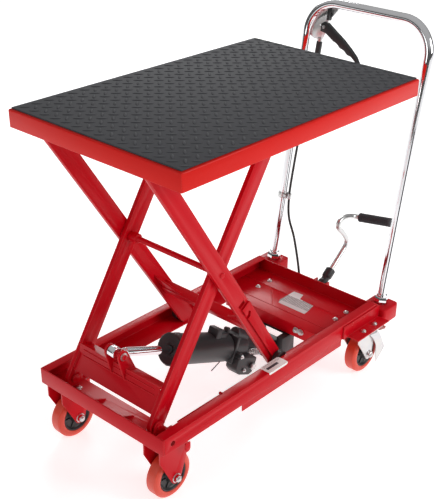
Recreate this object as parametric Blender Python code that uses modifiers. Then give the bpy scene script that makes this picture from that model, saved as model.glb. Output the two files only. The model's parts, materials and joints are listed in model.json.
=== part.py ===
"""Hydraulic scissor lift table: push cart base, two pairs of scissor legs, platform, foot pump and push handle.

Metres, +Z up. +X points to the push handle, the origin is on the floor under the middle of the platform.
"left" is the -Y side and "right" the +Y side, as seen by someone who pushes the cart by its handle.
"""

import math

import bmesh
import bpy
from mathutils import Matrix, Vector

# ---- driving dimensions (m) ----
TABLE_LENGTH = 0.700
TABLE_WIDTH = 0.450
TABLE_TOP = 0.722
SKIRT = 0.035
SHEET = 0.002
MAT_THICKNESS = 0.003
MAT_INSET = 0.005
GAP = 0.0003

BASE_FRONT = -0.365
BASE_REAR = 0.340
BASE_HALF_WIDTH = 0.182
RAIL_BOTTOM = 0.137
RAIL_TOP = 0.174
STEEL = 0.003
RAIL_FLANGE = 0.022
TRACK_FLANGE = 0.058
APRON_BOTTOM = 0.1207
APRON_START = -0.138
APRON_END = 0.203
DECK_FRONT = 0.178

HINGE_X = -0.327
LOW_PIN_Z = 0.1605
HIGH_PIN_Z = 0.696
LEG_ANGLE = math.radians(57.3)
LEG_WIDTH = 0.038
LEG_THICKNESS = 0.010
OUTER_LEG_Y = 0.133
INNER_LEG_Y = 0.1215
PIN_RADIUS = 0.006
PIN_CLEARANCE = 0.0003
ROLLER_RADIUS = 0.0200
ROLLER_WIDTH = 0.014

WHEEL_RADIUS = 0.050
WHEEL_WIDTH = 0.031
HUB_RADIUS = 0.036
FRONT_WHEEL = Vector((-0.318, 0.145, WHEEL_RADIUS))
REAR_WHEEL = Vector((0.3127, 0.1656, WHEEL_RADIUS))
SWIVEL_X = 0.290
SWIVEL_Y = 0.1656
FORK_GAP = 0.0205
FORK_PLATE = 0.003
BRAKE_X = 0.335
BRAKE_Z = 0.1065

HANDLE_BASE = Vector((0.3794, 0.1665, 0.158))
HANDLE_TOP_Z = 0.799
HANDLE_LEAN = math.radians(9.6)
HANDLE_TUBE = 0.011
HANDLE_BEND = 0.075

RAM_EYE = Vector((-0.314, 0.0, 0.268))
RAM_REAR = Vector((0.165, 0.0, 0.065))
RAM_ROD_RADIUS = 0.0095
RESERVOIR_RADIUS = 0.034

PEDAL_PIVOT = Vector((0.362, 0.0, 0.143))
LEVER_PIVOT_ALONG = 0.595
LEVER_PIVOT_Y = 0.116

LEG_LENGTH = (HIGH_PIN_Z - LOW_PIN_Z) / math.sin(LEG_ANGLE)
ROLLER_X = HINGE_X + LEG_LENGTH * math.cos(LEG_ANGLE)
PIVOT = Vector(((HINGE_X + ROLLER_X) / 2, 0.0, (LOW_PIN_Z + HIGH_PIN_Z) / 2))
SIDES = (("left", -1), ("right", 1))
DEEP = 0.2


# ---- scene, collections and materials ----
def clear_scene():
    for obj in list(bpy.data.objects):
        bpy.data.objects.remove(obj, do_unlink=True)


def new_collection(name):
    collection = bpy.data.collections.new(name)
    bpy.context.scene.collection.children.link(collection)
    return collection


clear_scene()
PARTS = new_collection("scissor_lift_table")
CUTTERS = new_collection("cutters")


def material(name, colour, roughness, metallic=0.0):
    made = bpy.data.materials.new(name)
    made.use_nodes = True
    shader = made.node_tree.nodes["Principled BSDF"]
    shader.inputs["Base Color"].default_value = (*colour, 1.0)
    shader.inputs["Roughness"].default_value = roughness
    shader.inputs["Metallic"].default_value = metallic
    made.diffuse_color = (*colour, 1.0)
    return made


RED = material("red_paint", (0.58, 0.02, 0.02), 0.35)
RUBBER = material("black_rubber", (0.09, 0.09, 0.1), 0.8)
CHROME = material("chrome", (0.85, 0.85, 0.87), 0.1, 1.0)
ZINC = material("zinc_plate", (0.7, 0.7, 0.7), 0.3, 1.0)
BLACK_METAL = material("black_casting", (0.02, 0.02, 0.022), 0.5, 0.3)
BLACK_PLASTIC = material("black_plastic", (0.015, 0.015, 0.016), 0.45)
TREAD = material("red_polyurethane", (0.7, 0.07, 0.03), 0.4)
BRAKE_RED = material("brake_tab_red", (0.35, 0.08, 0.06), 0.5)


# ---- shape helpers: each makes a mesh object in world coordinates ----
def mesh_object(name, bm, collection=PARTS, colour=None):
    mesh = bpy.data.meshes.new(name)
    bmesh.ops.recalc_face_normals(bm, faces=bm.faces)
    bm.to_mesh(mesh)
    bm.free()
    obj = bpy.data.objects.new(name, mesh)
    collection.objects.link(obj)
    if colour:
        mesh.materials.append(colour)
    if collection is CUTTERS:
        obj.hide_render = True
        obj.display_type = "WIRE"
    return obj


def box(name, low, high, collection=PARTS, colour=RED):
    bm = bmesh.new()
    bmesh.ops.create_cube(bm, size=1.0)
    size = Vector(high) - Vector(low)
    middle = (Vector(high) + Vector(low)) / 2
    bmesh.ops.scale(bm, vec=size, verts=bm.verts)
    bmesh.ops.translate(bm, vec=middle, verts=bm.verts)
    return mesh_object(name, bm, collection, colour)


def rod(name, start, end, radius, sides=24, collection=PARTS, colour=ZINC, end_radius=None):
    start, end = Vector(start), Vector(end)
    bm = bmesh.new()
    bmesh.ops.create_cone(
        bm,
        cap_ends=True,
        segments=sides,
        radius1=radius,
        radius2=radius if end_radius is None else end_radius,
        depth=(end - start).length,
    )
    turn = Vector((0, 0, 1)).rotation_difference(end - start).to_matrix().to_4x4()
    bmesh.ops.transform(bm, matrix=Matrix.Translation((start + end) / 2) @ turn, verts=bm.verts)
    return mesh_object(name, bm, collection, colour)


def flat_piece(name, outline, middle, across, upright, thickness, collection=PARTS, colour=RED):
    """A flat piece cut to an outline: a filled 2D curve through middle, given extrusion on both sides."""
    data = bpy.data.curves.new(name, "CURVE")
    data.dimensions = "2D"
    data.fill_mode = "BOTH"
    data.extrude = thickness / 2
    spline = data.splines.new("POLY")
    spline.points.add(len(outline) - 1)
    spline.use_cyclic_u = True
    for point, (u, v) in zip(spline.points, outline):
        point.co = (u, v, 0.0, 1.0)
    curve = bpy.data.objects.new(name + "_outline", data)
    PARTS.objects.link(curve)
    bpy.context.view_layer.update()
    graph = bpy.context.evaluated_depsgraph_get()
    mesh = bpy.data.meshes.new_from_object(curve.evaluated_get(graph))
    across, upright = Vector(across), Vector(upright)
    turn = Matrix((across, upright, across.cross(upright))).transposed().to_4x4()
    mesh.transform(Matrix.Translation(middle) @ turn)
    bm = bmesh.new()
    bm.from_mesh(mesh)
    bmesh.ops.remove_doubles(bm, verts=bm.verts, dist=0.00001)
    bpy.data.meshes.remove(mesh)
    bpy.data.objects.remove(curve, do_unlink=True)
    return mesh_object(name, bm, collection, colour)


def plate(name, outline, low_y, high_y, collection=PARTS, colour=RED):
    """A flat piece in the XZ plane, given as (x, z) points, between two Y values."""
    middle = (0, (low_y + high_y) / 2, 0)
    return flat_piece(name, outline, middle, (1, 0, 0), (0, 0, 1), high_y - low_y, collection, colour)


def turned(name, profile, centre, colour, steps=32):
    """A wheel-like piece turned about the Y line through centre; profile is a closed (radius, y) loop."""
    mesh = bpy.data.meshes.new(name)
    count = len(profile)
    points = [(radius, 0.0, height) for radius, height in profile]
    mesh.from_pydata(points, [(i, (i + 1) % count) for i in range(count)], [])
    obj = bpy.data.objects.new(name, mesh)
    PARTS.objects.link(obj)
    mesh.materials.append(colour)
    screw = obj.modifiers.new("turn", "SCREW")
    screw.axis = "Z"
    screw.steps = steps
    screw.render_steps = steps
    screw.use_merge_vertices = True
    screw.merge_threshold = 0.00001
    screw.use_smooth_shade = False
    obj.rotation_euler = (math.radians(90), 0, 0)
    obj.location = centre
    return obj


def ring_profile(inner, outer, half_width, chamfer=0.0):
    """Closed loop: down the outer side, then back up the inner one."""
    return [
        (inner, half_width),
        (outer - chamfer, half_width),
        (outer, half_width - chamfer),
        (outer, -half_width + chamfer),
        (outer - chamfer, -half_width),
        (inner, -half_width),
    ] if chamfer else [
        (inner, half_width),
        (outer, half_width),
        (outer, -half_width),
        (inner, -half_width),
    ]


def boolean(obj, other, operation):
    step = obj.modifiers.new(operation.lower(), "BOOLEAN")
    step.operation = operation
    step.solver = "EXACT"
    step.object = other
    return obj


def cut(obj, other):
    return boolean(obj, other, "DIFFERENCE")


def join(obj, *others):
    """Union of pieces that are one solid; the helpers move to the cutter collection."""
    for other in others:
        for collection in list(other.users_collection):
            collection.objects.unlink(other)
        CUTTERS.objects.link(other)
        other.hide_render = True
        other.display_type = "WIRE"
        other.name = "join_" + other.name
        boolean(obj, other, "UNION")
    return obj


def bore(obj, start, end, radius, sides=24):
    return cut(obj, rod("bore_" + obj.name, start, end, radius, sides, CUTTERS, None))


def sweep(name, points, radius, colour, resolution=2):
    """A tube along a polyline, made a mesh so that it can be cut and joined."""
    data = bpy.data.curves.new(name, "CURVE")
    data.dimensions = "3D"
    data.bevel_depth = radius
    data.bevel_resolution = resolution
    data.use_fill_caps = True
    spline = data.splines.new("POLY")
    spline.points.add(len(points) - 1)
    for slot, point in zip(spline.points, points):
        slot.co = (*point, 1.0)
    curve = bpy.data.objects.new(name + "_curve", data)
    PARTS.objects.link(curve)
    bpy.context.view_layer.update()
    graph = bpy.context.evaluated_depsgraph_get()
    mesh = bpy.data.meshes.new_from_object(curve.evaluated_get(graph))
    bm = bmesh.new()
    bm.from_mesh(mesh)
    bmesh.ops.remove_doubles(bm, verts=bm.verts, dist=0.00001)
    bpy.data.meshes.remove(mesh)
    bpy.data.objects.remove(curve, do_unlink=True)
    return mesh_object(name, bm, PARTS, colour)


def set_origin(obj, point):
    """Moves the object's origin onto its joint's axis and leaves its shape where it is."""
    if obj.location.length == 0:
        obj.data.transform(Matrix.Translation(-Vector(point)))
        obj.location = point
    return obj


def arc(centre, radius, start, end, count):
    """(x, z) points on an arc, angles in degrees."""
    found = []
    for i in range(count + 1):
        angle = math.radians(start + (end - start) * i / count)
        found.append((centre[0] + radius * math.cos(angle), centre[1] + radius * math.sin(angle)))
    return found


def smooth_route(points, step):
    """Evenly spaced points on a Catmull-Rom curve through the route's own points."""
    route = [Vector(p) for p in points]
    route = [2 * route[0] - route[1]] + route + [2 * route[-1] - route[-2]]
    found = []
    for a, b, c, d in zip(route, route[1:], route[2:], route[3:]):
        pieces = max(1, round((c - b).length / step))
        for i in range(pieces):
            t = i / pieces
            found.append(
                0.5 * (2 * b + (c - a) * t + (2 * a - 5 * b + 4 * c - d) * t ** 2 + (3 * b - a - 3 * c + d) * t ** 3)
            )
    return found + [route[-2]]


# ---- base frame ----
def make_front_channel():
    """Front wall with a wide plate behind its foot, which the front casters are bolted under."""
    low = (BASE_FRONT, -BASE_HALF_WIDTH, RAIL_BOTTOM)
    wall = box("front_channel", low, (BASE_FRONT + STEEL, BASE_HALF_WIDTH, RAIL_TOP))
    half = BASE_HALF_WIDTH - STEEL - GAP
    join(wall, box("front_plate", (BASE_FRONT + 0.001, -half, RAIL_BOTTOM), (-0.2970, half, RAIL_BOTTOM + STEEL)))
    low, high = RAIL_BOTTOM + 0.001, RAIL_BOTTOM + 0.027
    for y in (-0.050, 0.034):
        corner = [(BASE_FRONT + 0.001, low), (-0.318, low), (-0.318, low + 0.005), (BASE_FRONT + 0.001, high)]
        join(wall, plate("front_gusset", corner, y - 0.0015, y + 0.0015))


def make_side_rail(side, sign):
    """C-section open inwards, with a wide bottom flange that the rollers run on and an apron below it."""
    start = BASE_FRONT + STEEL + GAP
    outer = BASE_HALF_WIDTH
    web_inner = outer - STEEL
    y = sorted((sign * web_inner, sign * outer))
    name = "side_rail_" + side
    web = box(name, (start, y[0], RAIL_BOTTOM), (BASE_REAR, y[1], RAIL_TOP))
    y = sorted((sign * (outer - RAIL_FLANGE), sign * (outer - 0.001)))
    top = box(name + "_top", (start, y[0], RAIL_TOP - STEEL), (BASE_REAR, y[1], RAIL_TOP))
    y = sorted((sign * (outer - TRACK_FLANGE), sign * (outer - 0.001)))
    floor = box(name + "_floor", (-0.270, y[0], RAIL_BOTTOM), (DECK_FRONT - GAP, y[1], RAIL_BOTTOM + STEEL))
    y = sorted((sign * web_inner, sign * outer))
    apron = box(name + "_apron", (APRON_START, y[0] + 0.0004, APRON_BOTTOM), (APRON_END, y[1] - 0.0004, RAIL_BOTTOM + 0.001))
    join(web, top, floor, apron)
    if side == "left":
        hook_z = LOW_PIN_Z - 0.0032
        hook_pin = rod("hook_pin", (-0.159, -0.180, hook_z), (-0.159, -0.1372, hook_z), 0.0034, 16)
        join(web, hook_pin)
        bore(web, (-0.339, -DEEP, 0.1546), (-0.339, -0.165, 0.1546), 0.0062, 20)


def make_deck():
    """Tray across the rear of the base, with a lip turned down at its front edge."""
    half = BASE_HALF_WIDTH - STEEL - GAP
    deck = box("deck_tray", (DECK_FRONT, -half, RAIL_BOTTOM), (0.2797, half, RAIL_BOTTOM + STEEL))
    lip = box("deck_lip", (DECK_FRONT, -0.150, 0.1080), (DECK_FRONT + STEEL, 0.150, RAIL_BOTTOM + 0.001))
    join(deck, lip)


def make_rear_channel():
    """Rear wall with a wide bottom flange; two cheeks behind it carry the foot pedal."""
    half = BASE_HALF_WIDTH - STEEL - GAP
    wall = box("rear_channel", (BASE_REAR - STEEL, -half, RAIL_BOTTOM), (BASE_REAR, half, RAIL_TOP - STEEL - GAP))
    flange = box("rear_flange", (0.280, -half, RAIL_BOTTOM), (BASE_REAR - 0.001, half, RAIL_BOTTOM + STEEL))
    join(wall, flange)
    for low_y in (-0.0195, 0.0155):
        cheek = box("pedal_cheek", (BASE_REAR - 0.001, low_y, 0.128), (0.372, low_y + 0.004, 0.158))
        join(wall, cheek)
    pin = rod("pedal_pin", PEDAL_PIVOT + Vector((0, -0.018, 0)), PEDAL_PIVOT + Vector((0, 0.018, 0)), 0.004, 16)
    join(wall, pin)


def make_caster_bracket(side, sign):
    """Angle outside the rail: upright part against the web, foot over the caster plate."""
    near = BASE_HALF_WIDTH + GAP
    y = sorted((sign * near, sign * (near + STEEL)))
    upright = box("caster_bracket_" + side, (0.206, y[0], RAIL_BOTTOM), (0.346, y[1], 0.1695))
    y = sorted((sign * (near + STEEL - 0.001), sign * 0.216))
    foot = box("bracket_foot_" + side, (0.222, y[0], RAIL_BOTTOM), (0.345, y[1], RAIL_BOTTOM + STEEL))
    join(upright, foot)


def make_handle_socket(side, sign):
    """Rounded block behind the rear wall that takes the foot of the push handle."""
    centre_x, centre_y = 0.3773, sign * 0.1680
    half_x, half_y, corner = 0.0307, 0.0320, 0.010
    outline = []
    for start, cx, cy in ((0, 1, 1), (90, -1, 1), (180, -1, -1), (270, 1, -1)):
        corner_x = centre_x + cx * (half_x - corner)
        corner_y = centre_y + cy * (half_y - corner)
        outline += arc((corner_x, corner_y), corner, start, start + 90, 4)
    middle = (0, 0, 0.1375)
    block = flat_piece("handle_socket_" + side, outline, middle, (1, 0, 0), (0, 1, 0), 0.039)
    foot = Vector((HANDLE_BASE.x, sign * HANDLE_BASE.y, HANDLE_BASE.z))
    along = Vector((math.sin(HANDLE_LEAN), 0, math.cos(HANDLE_LEAN)))
    bore(block, foot - along * 0.025, foot + along * 0.02, HANDLE_TUBE + GAP * 1.5, 24)


def make_base_hinge(side, sign):
    """Ear on the front plate with the pin that the inner leg turns on."""
    y = sorted((sign * 0.1285, sign * 0.1325))
    bottom = RAIL_BOTTOM + STEEL + GAP
    outline = [(HINGE_X + 0.020, bottom)] + arc((HINGE_X, LOW_PIN_Z), 0.0125, 0, 180, 8) + [(HINGE_X - 0.020, bottom)]
    ear = plate("base_hinge_" + side, outline, y[0], y[1])
    pin = rod("base_pin_" + side, (HINGE_X, sign * 0.1130, LOW_PIN_Z), (HINGE_X, sign * 0.1350, LOW_PIN_Z), PIN_RADIUS)
    head = rod("pin_head_" + side, (HINGE_X, sign * 0.1120, LOW_PIN_Z), (HINGE_X, sign * 0.1155, LOW_PIN_Z), 0.009)
    join(ear, pin, head)


# ---- casters ----
def wheel(name, centre):
    hub = HUB_RADIUS
    tread = [
        (hub, WHEEL_WIDTH / 2 - 0.001),
        (WHEEL_RADIUS - 0.004, WHEEL_WIDTH / 2),
        (WHEEL_RADIUS, WHEEL_WIDTH / 2 - 0.005),
        (WHEEL_RADIUS, -WHEEL_WIDTH / 2 + 0.005),
        (WHEEL_RADIUS - 0.004, -WHEEL_WIDTH / 2),
        (hub, -WHEEL_WIDTH / 2 + 0.001),
    ]
    turned(name + "_tread", tread, centre, TREAD, 40)
    inner = hub - GAP
    core = [
        (PIN_RADIUS - 0.001 + PIN_CLEARANCE, 0.0185),
        (0.013, 0.0185),
        (0.014, 0.011),
        (0.029, 0.011),
        (inner, 0.0145),
        (inner, -0.0145),
        (0.029, -0.011),
        (0.014, -0.011),
        (0.013, -0.0185),
        (PIN_RADIUS - 0.001 + PIN_CLEARANCE, -0.0185),
    ]
    turned(name + "_hub", core, centre, BLACK_PLASTIC, 24)


def fork_cheek_outline(centre, top_low, top_high, top_z, tip):
    """Trapezoid from a wide top to a round end about the axle."""
    return [(top_low, top_z), (top_low, top_z - 0.028)] + arc((centre.x, centre.z), tip, 200, 340, 8) + [
        (top_high, top_z - 0.028),
        (top_high, top_z),
    ]


def fork(name, centre, sign, top_low, top_high, top_z, colour):
    """Inverted U over the wheel with its axle bolt."""
    y0 = sign * centre.y
    middle = Vector((centre.x, 0, centre.z))
    outline = fork_cheek_outline(middle, top_low + 0.0007, top_high - 0.0007, top_z - 0.001, 0.013)
    reach = FORK_GAP + FORK_PLATE + 0.0004
    low, high = (top_low, y0 - reach, top_z - FORK_PLATE), (top_high, y0 + reach, top_z)
    body = box(name, low, high, colour=colour)
    for turn in (-1, 1):
        y = sorted((y0 + turn * FORK_GAP, y0 + turn * (FORK_GAP + FORK_PLATE)))
        join(body, plate(name + "_cheek", outline, y[0], y[1], colour=colour))
    return body


def axle_bolt(name, centre, sign):
    y0 = sign * centre.y
    reach = FORK_GAP + FORK_PLATE
    bolt = rod(name, (centre.x, y0 - reach - 0.001, centre.z), (centre.x, y0 + reach + 0.001, centre.z), 0.005, 16)
    for turn in (-1, 1):
        start = (centre.x, y0 + turn * reach, centre.z)
        end = (centre.x, y0 + turn * (reach + 0.006), centre.z)
        join(bolt, rod(name + "_head", start, end, 0.0085, 6 if turn > 0 else 16))
    return bolt


def make_front_caster(side, sign):
    centre = Vector((FRONT_WHEEL.x, sign * FRONT_WHEEL.y, FRONT_WHEEL.z))
    body = fork("front_fork_" + side, FRONT_WHEEL, sign, -0.362, -0.284, RAIL_BOTTOM - GAP, RED)
    join(body, axle_bolt("front_axle_" + side, FRONT_WHEEL, sign))
    wheel("front_wheel_" + side, centre)


def make_rear_caster(side, sign):
    """Swivel plate bolted under the deck, forked swivel with trail, wheel, and a brake tab behind it."""
    y0 = sign * SWIVEL_Y
    top = RAIL_BOTTOM - GAP
    base_plate = box(
        "swivel_plate_" + side,
        (SWIVEL_X - 0.034, y0 - 0.048, top - 0.004),
        (SWIVEL_X + 0.034, y0 + 0.048, top),
        colour=ZINC,
    )
    join(base_plate, rod("race_" + side, (SWIVEL_X, y0, top - 0.003), (SWIVEL_X, y0, top - 0.011), 0.024, 24))
    body = fork("rear_fork_" + side, REAR_WHEEL, sign, SWIVEL_X - 0.024, SWIVEL_X + 0.040, top - 0.0115, ZINC)
    join(body, axle_bolt("rear_axle_" + side, REAR_WHEEL, sign))
    set_origin(body, (SWIVEL_X, y0, top))
    wheel("rear_wheel_" + side, Vector((REAR_WHEEL.x, y0, REAR_WHEEL.z)))
    for turn in (-1, 1):
        y = sorted((y0 + turn * FORK_GAP, y0 + turn * (FORK_GAP + FORK_PLATE)))
        lug = [(0.322, 0.098), (0.339, 0.098), (0.3425, 0.1065), (0.339, 0.115), (0.322, 0.115)]
        join(body, plate("brake_lug", lug, y[0], y[1]))
    reach = Vector((0, FORK_GAP + FORK_PLATE + 0.001, 0))
    pivot = Vector((BRAKE_X, y0, BRAKE_Z))
    join(body, rod("brake_pin", pivot - reach, pivot + reach, 0.0029, 16))
    outline = [(0.333, 0.1045), (0.350, 0.1035), (0.3665, 0.0880), (0.392, 0.0820), (0.394, 0.0875), (0.3685, 0.0945),
               (0.353, 0.1090), (0.333, 0.1095)]
    tab = plate("brake_tab_" + side, outline, y0 - 0.014, y0 + 0.014, colour=BRAKE_RED)
    join(tab, rod("brake_barrel", pivot + Vector((0, -0.0135, 0)), pivot + Vector((0, 0.0135, 0)), 0.0058, 20))
    bore(tab, pivot - reach, pivot + reach, 0.0032, 16)
    set_origin(tab, pivot)


# ---- scissor legs ----
def along_leg(start, angle, distance, across=0.0):
    """(x, z) of a point on a leg: distance from its pin, across to its upper side."""
    direction = Vector((math.cos(angle), math.sin(angle)))
    normal = Vector((-math.sin(angle), math.cos(angle)))
    return tuple(Vector(start) + direction * distance + normal * across)


def leg_outline(start, angle):
    degrees = math.degrees(angle)
    end = along_leg(start, angle, LEG_LENGTH)
    radius = LEG_WIDTH / 2
    return arc(end, radius, degrees - 90, degrees + 90, 8) + arc(start, radius, degrees + 90, degrees + 270, 8)


def make_inner_leg(side, sign):
    """From the front pin of the base up to a roller under the rear of the platform."""
    y = sorted((sign * (INNER_LEG_Y - LEG_THICKNESS / 2), sign * (INNER_LEG_Y + LEG_THICKNESS / 2)))
    leg = plate("inner_leg_" + side, leg_outline((HINGE_X, LOW_PIN_Z), LEG_ANGLE), y[0], y[1])
    outside = sign * (INNER_LEG_Y + LEG_THICKNESS / 2)
    stub = rod("upper_stub_" + side, (ROLLER_X, outside - sign * 0.001, HIGH_PIN_Z),
               (ROLLER_X, sign * 0.1450, HIGH_PIN_Z), PIN_RADIUS)
    cap = rod("upper_cap_" + side, (ROLLER_X, sign * 0.1425, HIGH_PIN_Z), (ROLLER_X, sign * 0.1450, HIGH_PIN_Z), 0.009)
    join(leg, stub, cap)
    bore(leg, (HINGE_X, -DEEP, LOW_PIN_Z), (HINGE_X, DEEP, LOW_PIN_Z), PIN_RADIUS + PIN_CLEARANCE)
    bore(leg, (PIVOT.x, -DEEP, PIVOT.z), (PIVOT.x, DEEP, PIVOT.z), PIN_RADIUS + PIN_CLEARANCE)
    set_origin(leg, (HINGE_X, 0, LOW_PIN_Z))


def make_outer_leg(side, sign):
    """From the front hinge of the platform down to a roller in the rail."""
    y = sorted((sign * (OUTER_LEG_Y - LEG_THICKNESS / 2), sign * (OUTER_LEG_Y + LEG_THICKNESS / 2)))
    angle = math.pi - LEG_ANGLE
    leg = plate("outer_leg_" + side, leg_outline((ROLLER_X, LOW_PIN_Z), angle), y[0], y[1])
    outside = OUTER_LEG_Y + LEG_THICKNESS / 2
    stub = rod("lower_stub_" + side, (ROLLER_X, sign * (outside - 0.001), LOW_PIN_Z),
               (ROLLER_X, sign * 0.1594, LOW_PIN_Z), PIN_RADIUS)
    cap = rod("lower_cap_" + side, (ROLLER_X, sign * 0.1575, LOW_PIN_Z), (ROLLER_X, sign * 0.1594, LOW_PIN_Z), 0.009)
    join(leg, stub, cap)
    bore(leg, (HINGE_X, -DEEP, HIGH_PIN_Z), (HINGE_X, DEEP, HIGH_PIN_Z), PIN_RADIUS + PIN_CLEARANCE)
    bore(leg, (PIVOT.x, -DEEP, PIVOT.z), (PIVOT.x, DEEP, PIVOT.z), PIN_RADIUS + PIN_CLEARANCE)
    if side == "left":
        start = (ROLLER_X, LOW_PIN_Z)
        window = [along_leg(start, angle, s, t) for s, t in ((0.206, 0.008), (0.216, 0.008), (0.216, -0.011),
                                                             (0.206, -0.011))]
        cut(leg, plate("bar_window", window, -DEEP, -0.1, CUTTERS, None))
    set_origin(leg, PIVOT)


def make_centre_rod():
    """Pin through all four legs, with a sleeve beside the right inner leg."""
    reach = OUTER_LEG_Y + LEG_THICKNESS / 2 + 0.0016
    centre = rod("centre_rod", (PIVOT.x, -reach, PIVOT.z), (PIVOT.x, reach, PIVOT.z), PIN_RADIUS, colour=RED)
    inside = INNER_LEG_Y - LEG_THICKNESS / 2 - GAP
    join(centre, rod("sleeve", (PIVOT.x, inside - 0.022, PIVOT.z), (PIVOT.x, inside, PIVOT.z), 0.0105, colour=RED))
    set_origin(centre, (PIVOT.x, 0, PIVOT.z))


def make_inner_cross_plate():
    """Folded plate across the inner legs that the ram pushes on, with two clevis ears and their pin."""
    start = (HINGE_X, LOW_PIN_Z)
    half = INNER_LEG_Y - LEG_THICKNESS / 2 - GAP
    section = [(0.018, 0.016), (0.054, 0.016), (0.0745, 0.0255), (0.0790, -0.0115), (0.0750, -0.0115),
               (0.0712, 0.0195), (0.055, 0.012), (0.018, 0.012)]
    body = plate("inner_cross_plate", [along_leg(start, LEG_ANGLE, s, t) for s, t in section], -half, half)
    eye = (RAM_EYE.x, RAM_EYE.z)
    degrees = math.degrees(LEG_ANGLE)
    foot_low = along_leg(start, LEG_ANGLE, 0.048, 0.0135)
    foot_high = along_leg(start, LEG_ANGLE, 0.0775, -0.006)
    ear = [foot_low] + [foot_high] + arc(eye, 0.0130, degrees - 40, degrees + 130, 8)
    for low_y in (-0.0230, 0.0150):
        join(body, plate("clevis_ear", ear, low_y, low_y + 0.004))
    pin = rod("clevis_pin", RAM_EYE + Vector((0, -0.028, 0)), RAM_EYE + Vector((0, 0.023, 0)), 0.0055)
    join(body, pin)
    set_origin(body, (HINGE_X, 0, LOW_PIN_Z))


def make_outer_cross_tie():
    """Square tube between the outer legs below the pivot, with a gusset plate at each end."""
    start = (ROLLER_X, LOW_PIN_Z)
    angle = math.pi - LEG_ANGLE
    half = OUTER_LEG_Y - LEG_THICKNESS / 2 - GAP
    place = 0.122
    section = [along_leg(start, angle, place + s, t) for s, t in ((-0.011, -0.011), (0.011, -0.011), (0.011, 0.011),
                                                                  (-0.011, 0.011))]
    body = plate("outer_cross_tie", section, -half, half)
    along = Vector((math.cos(angle), 0, math.sin(angle)))
    normal = Vector((-math.sin(angle), 0, math.cos(angle)))
    centre = Vector((start[0], 0, start[1])) + along * place
    for sign in (-1, 1):
        corners = ((0.0, half), (0.050, half), (0.010, half - 0.062), (0.0, half - 0.062))
        gusset = flat_piece("gusset", corners, centre + normal * 0.006, along, (0, sign, 0), 0.004)
        join(body, gusset)
    set_origin(body, PIVOT)


def make_rollers():
    inner = PIN_RADIUS + PIN_CLEARANCE
    for side, sign in SIDES:
        profile = ring_profile(inner, ROLLER_RADIUS, ROLLER_WIDTH / 2, 0.001)
        turned("lower_roller_" + side, profile, (ROLLER_X, sign * 0.1502, LOW_PIN_Z), BLACK_PLASTIC, 32)
        turned("upper_roller_" + side, profile, (ROLLER_X, sign * 0.1350, HIGH_PIN_Z), BLACK_PLASTIC, 32)


def make_safety_bar():
    """Flat bar on the roller pin; it swings forward and hooks over the pin on the rail."""
    start = (ROLLER_X, LOW_PIN_Z)
    angle = math.pi - LEG_ANGLE
    degrees = math.degrees(angle)
    outline = [(0.012, 0.006), (0.1705, 0.006), (0.1705, -0.002), (0.1785, -0.009), (0.1865, -0.006), (0.1795, 0.002),
               (0.1795, 0.006), (0.203, 0.006), (0.203, -0.019), (0.0, -0.0165)]
    points = [along_leg(start, angle, s, t) for s, t in outline]
    points += arc(start, 0.0165, degrees - 90, degrees - 270, 8)[1:]
    bar = plate("safety_bar", points, -0.1426, -0.1384)
    bore(bar, (ROLLER_X, -DEEP, LOW_PIN_Z), (ROLLER_X, -0.1, LOW_PIN_Z), PIN_RADIUS + PIN_CLEARANCE)
    set_origin(bar, (ROLLER_X, 0, LOW_PIN_Z))


# ---- platform ----
def make_platform():
    half_x, half_y = TABLE_LENGTH / 2, TABLE_WIDTH / 2
    bm = bmesh.new()
    bmesh.ops.create_cube(bm, size=1.0)
    bmesh.ops.scale(bm, vec=(TABLE_LENGTH, TABLE_WIDTH, SKIRT), verts=bm.verts)
    bmesh.ops.translate(bm, vec=(0, 0, TABLE_TOP - SKIRT / 2), verts=bm.verts)
    floor = [face for face in bm.faces if face.calc_center_median().z < TABLE_TOP - SKIRT + 0.001]
    bmesh.ops.delete(bm, geom=floor, context="FACES")
    pan = mesh_object("platform_pan", bm, PARTS, RED)
    edge = pan.modifiers.new("rounded", "BEVEL")
    edge.width = 0.003
    edge.segments = 2
    wall = pan.modifiers.new("sheet", "SOLIDIFY")
    wall.thickness = SHEET
    wall.offset = -1
    wall.use_even_offset = True
    set_origin(pan, (HINGE_X, 0, HIGH_PIN_Z))
    mat = box(
        "rubber_mat",
        (-half_x + MAT_INSET, -half_y + MAT_INSET, TABLE_TOP + GAP),
        (half_x - MAT_INSET, half_y - MAT_INSET, TABLE_TOP + GAP + MAT_THICKNESS),
        colour=RUBBER,
    )
    set_origin(mat, (HINGE_X, 0, HIGH_PIN_Z))
    underside = TABLE_TOP - SHEET - GAP
    for side, sign in SIDES:
        y = sorted((sign * 0.1395, sign * 0.1435))
        outline = [(HINGE_X + 0.019, underside), (HINGE_X - 0.019, underside)]
        outline += arc((HINGE_X, HIGH_PIN_Z), 0.015, 180, 360, 8)
        ear = plate("top_hinge_" + side, outline, y[0], y[1])
        pin = rod("top_pin_" + side, (HINGE_X, sign * 0.1225, HIGH_PIN_Z), (HINGE_X, sign * 0.146, HIGH_PIN_Z),
                  PIN_RADIUS)
        head = rod("top_pin_head_" + side, (HINGE_X, sign * 0.1225, HIGH_PIN_Z), (HINGE_X, sign * 0.1265, HIGH_PIN_Z),
                   0.009)
        join(ear, pin, head)
        set_origin(ear, (HINGE_X, 0, HIGH_PIN_Z))
        top = HIGH_PIN_Z + ROLLER_RADIUS + GAP
        y = sorted((sign * 0.1275, sign * 0.1500))
        track = box("top_track_" + side, (-0.030, y[0], top), (0.338, y[1], underside))
        y = sorted((sign * 0.1470, sign * 0.1500))
        lip = box("track_lip_" + side, (-0.030, y[0], HIGH_PIN_Z - 0.005), (0.338, y[1], top + 0.001))
        join(track, lip)
        set_origin(track, (HINGE_X, 0, HIGH_PIN_Z))


# ---- hydraulic unit ----
RAM_AXIS = (RAM_REAR - RAM_EYE).normalized()
CAP_FRONT = 0.161
TUBE_REAR = 0.343
BORE_DEPTH = 0.315


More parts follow.
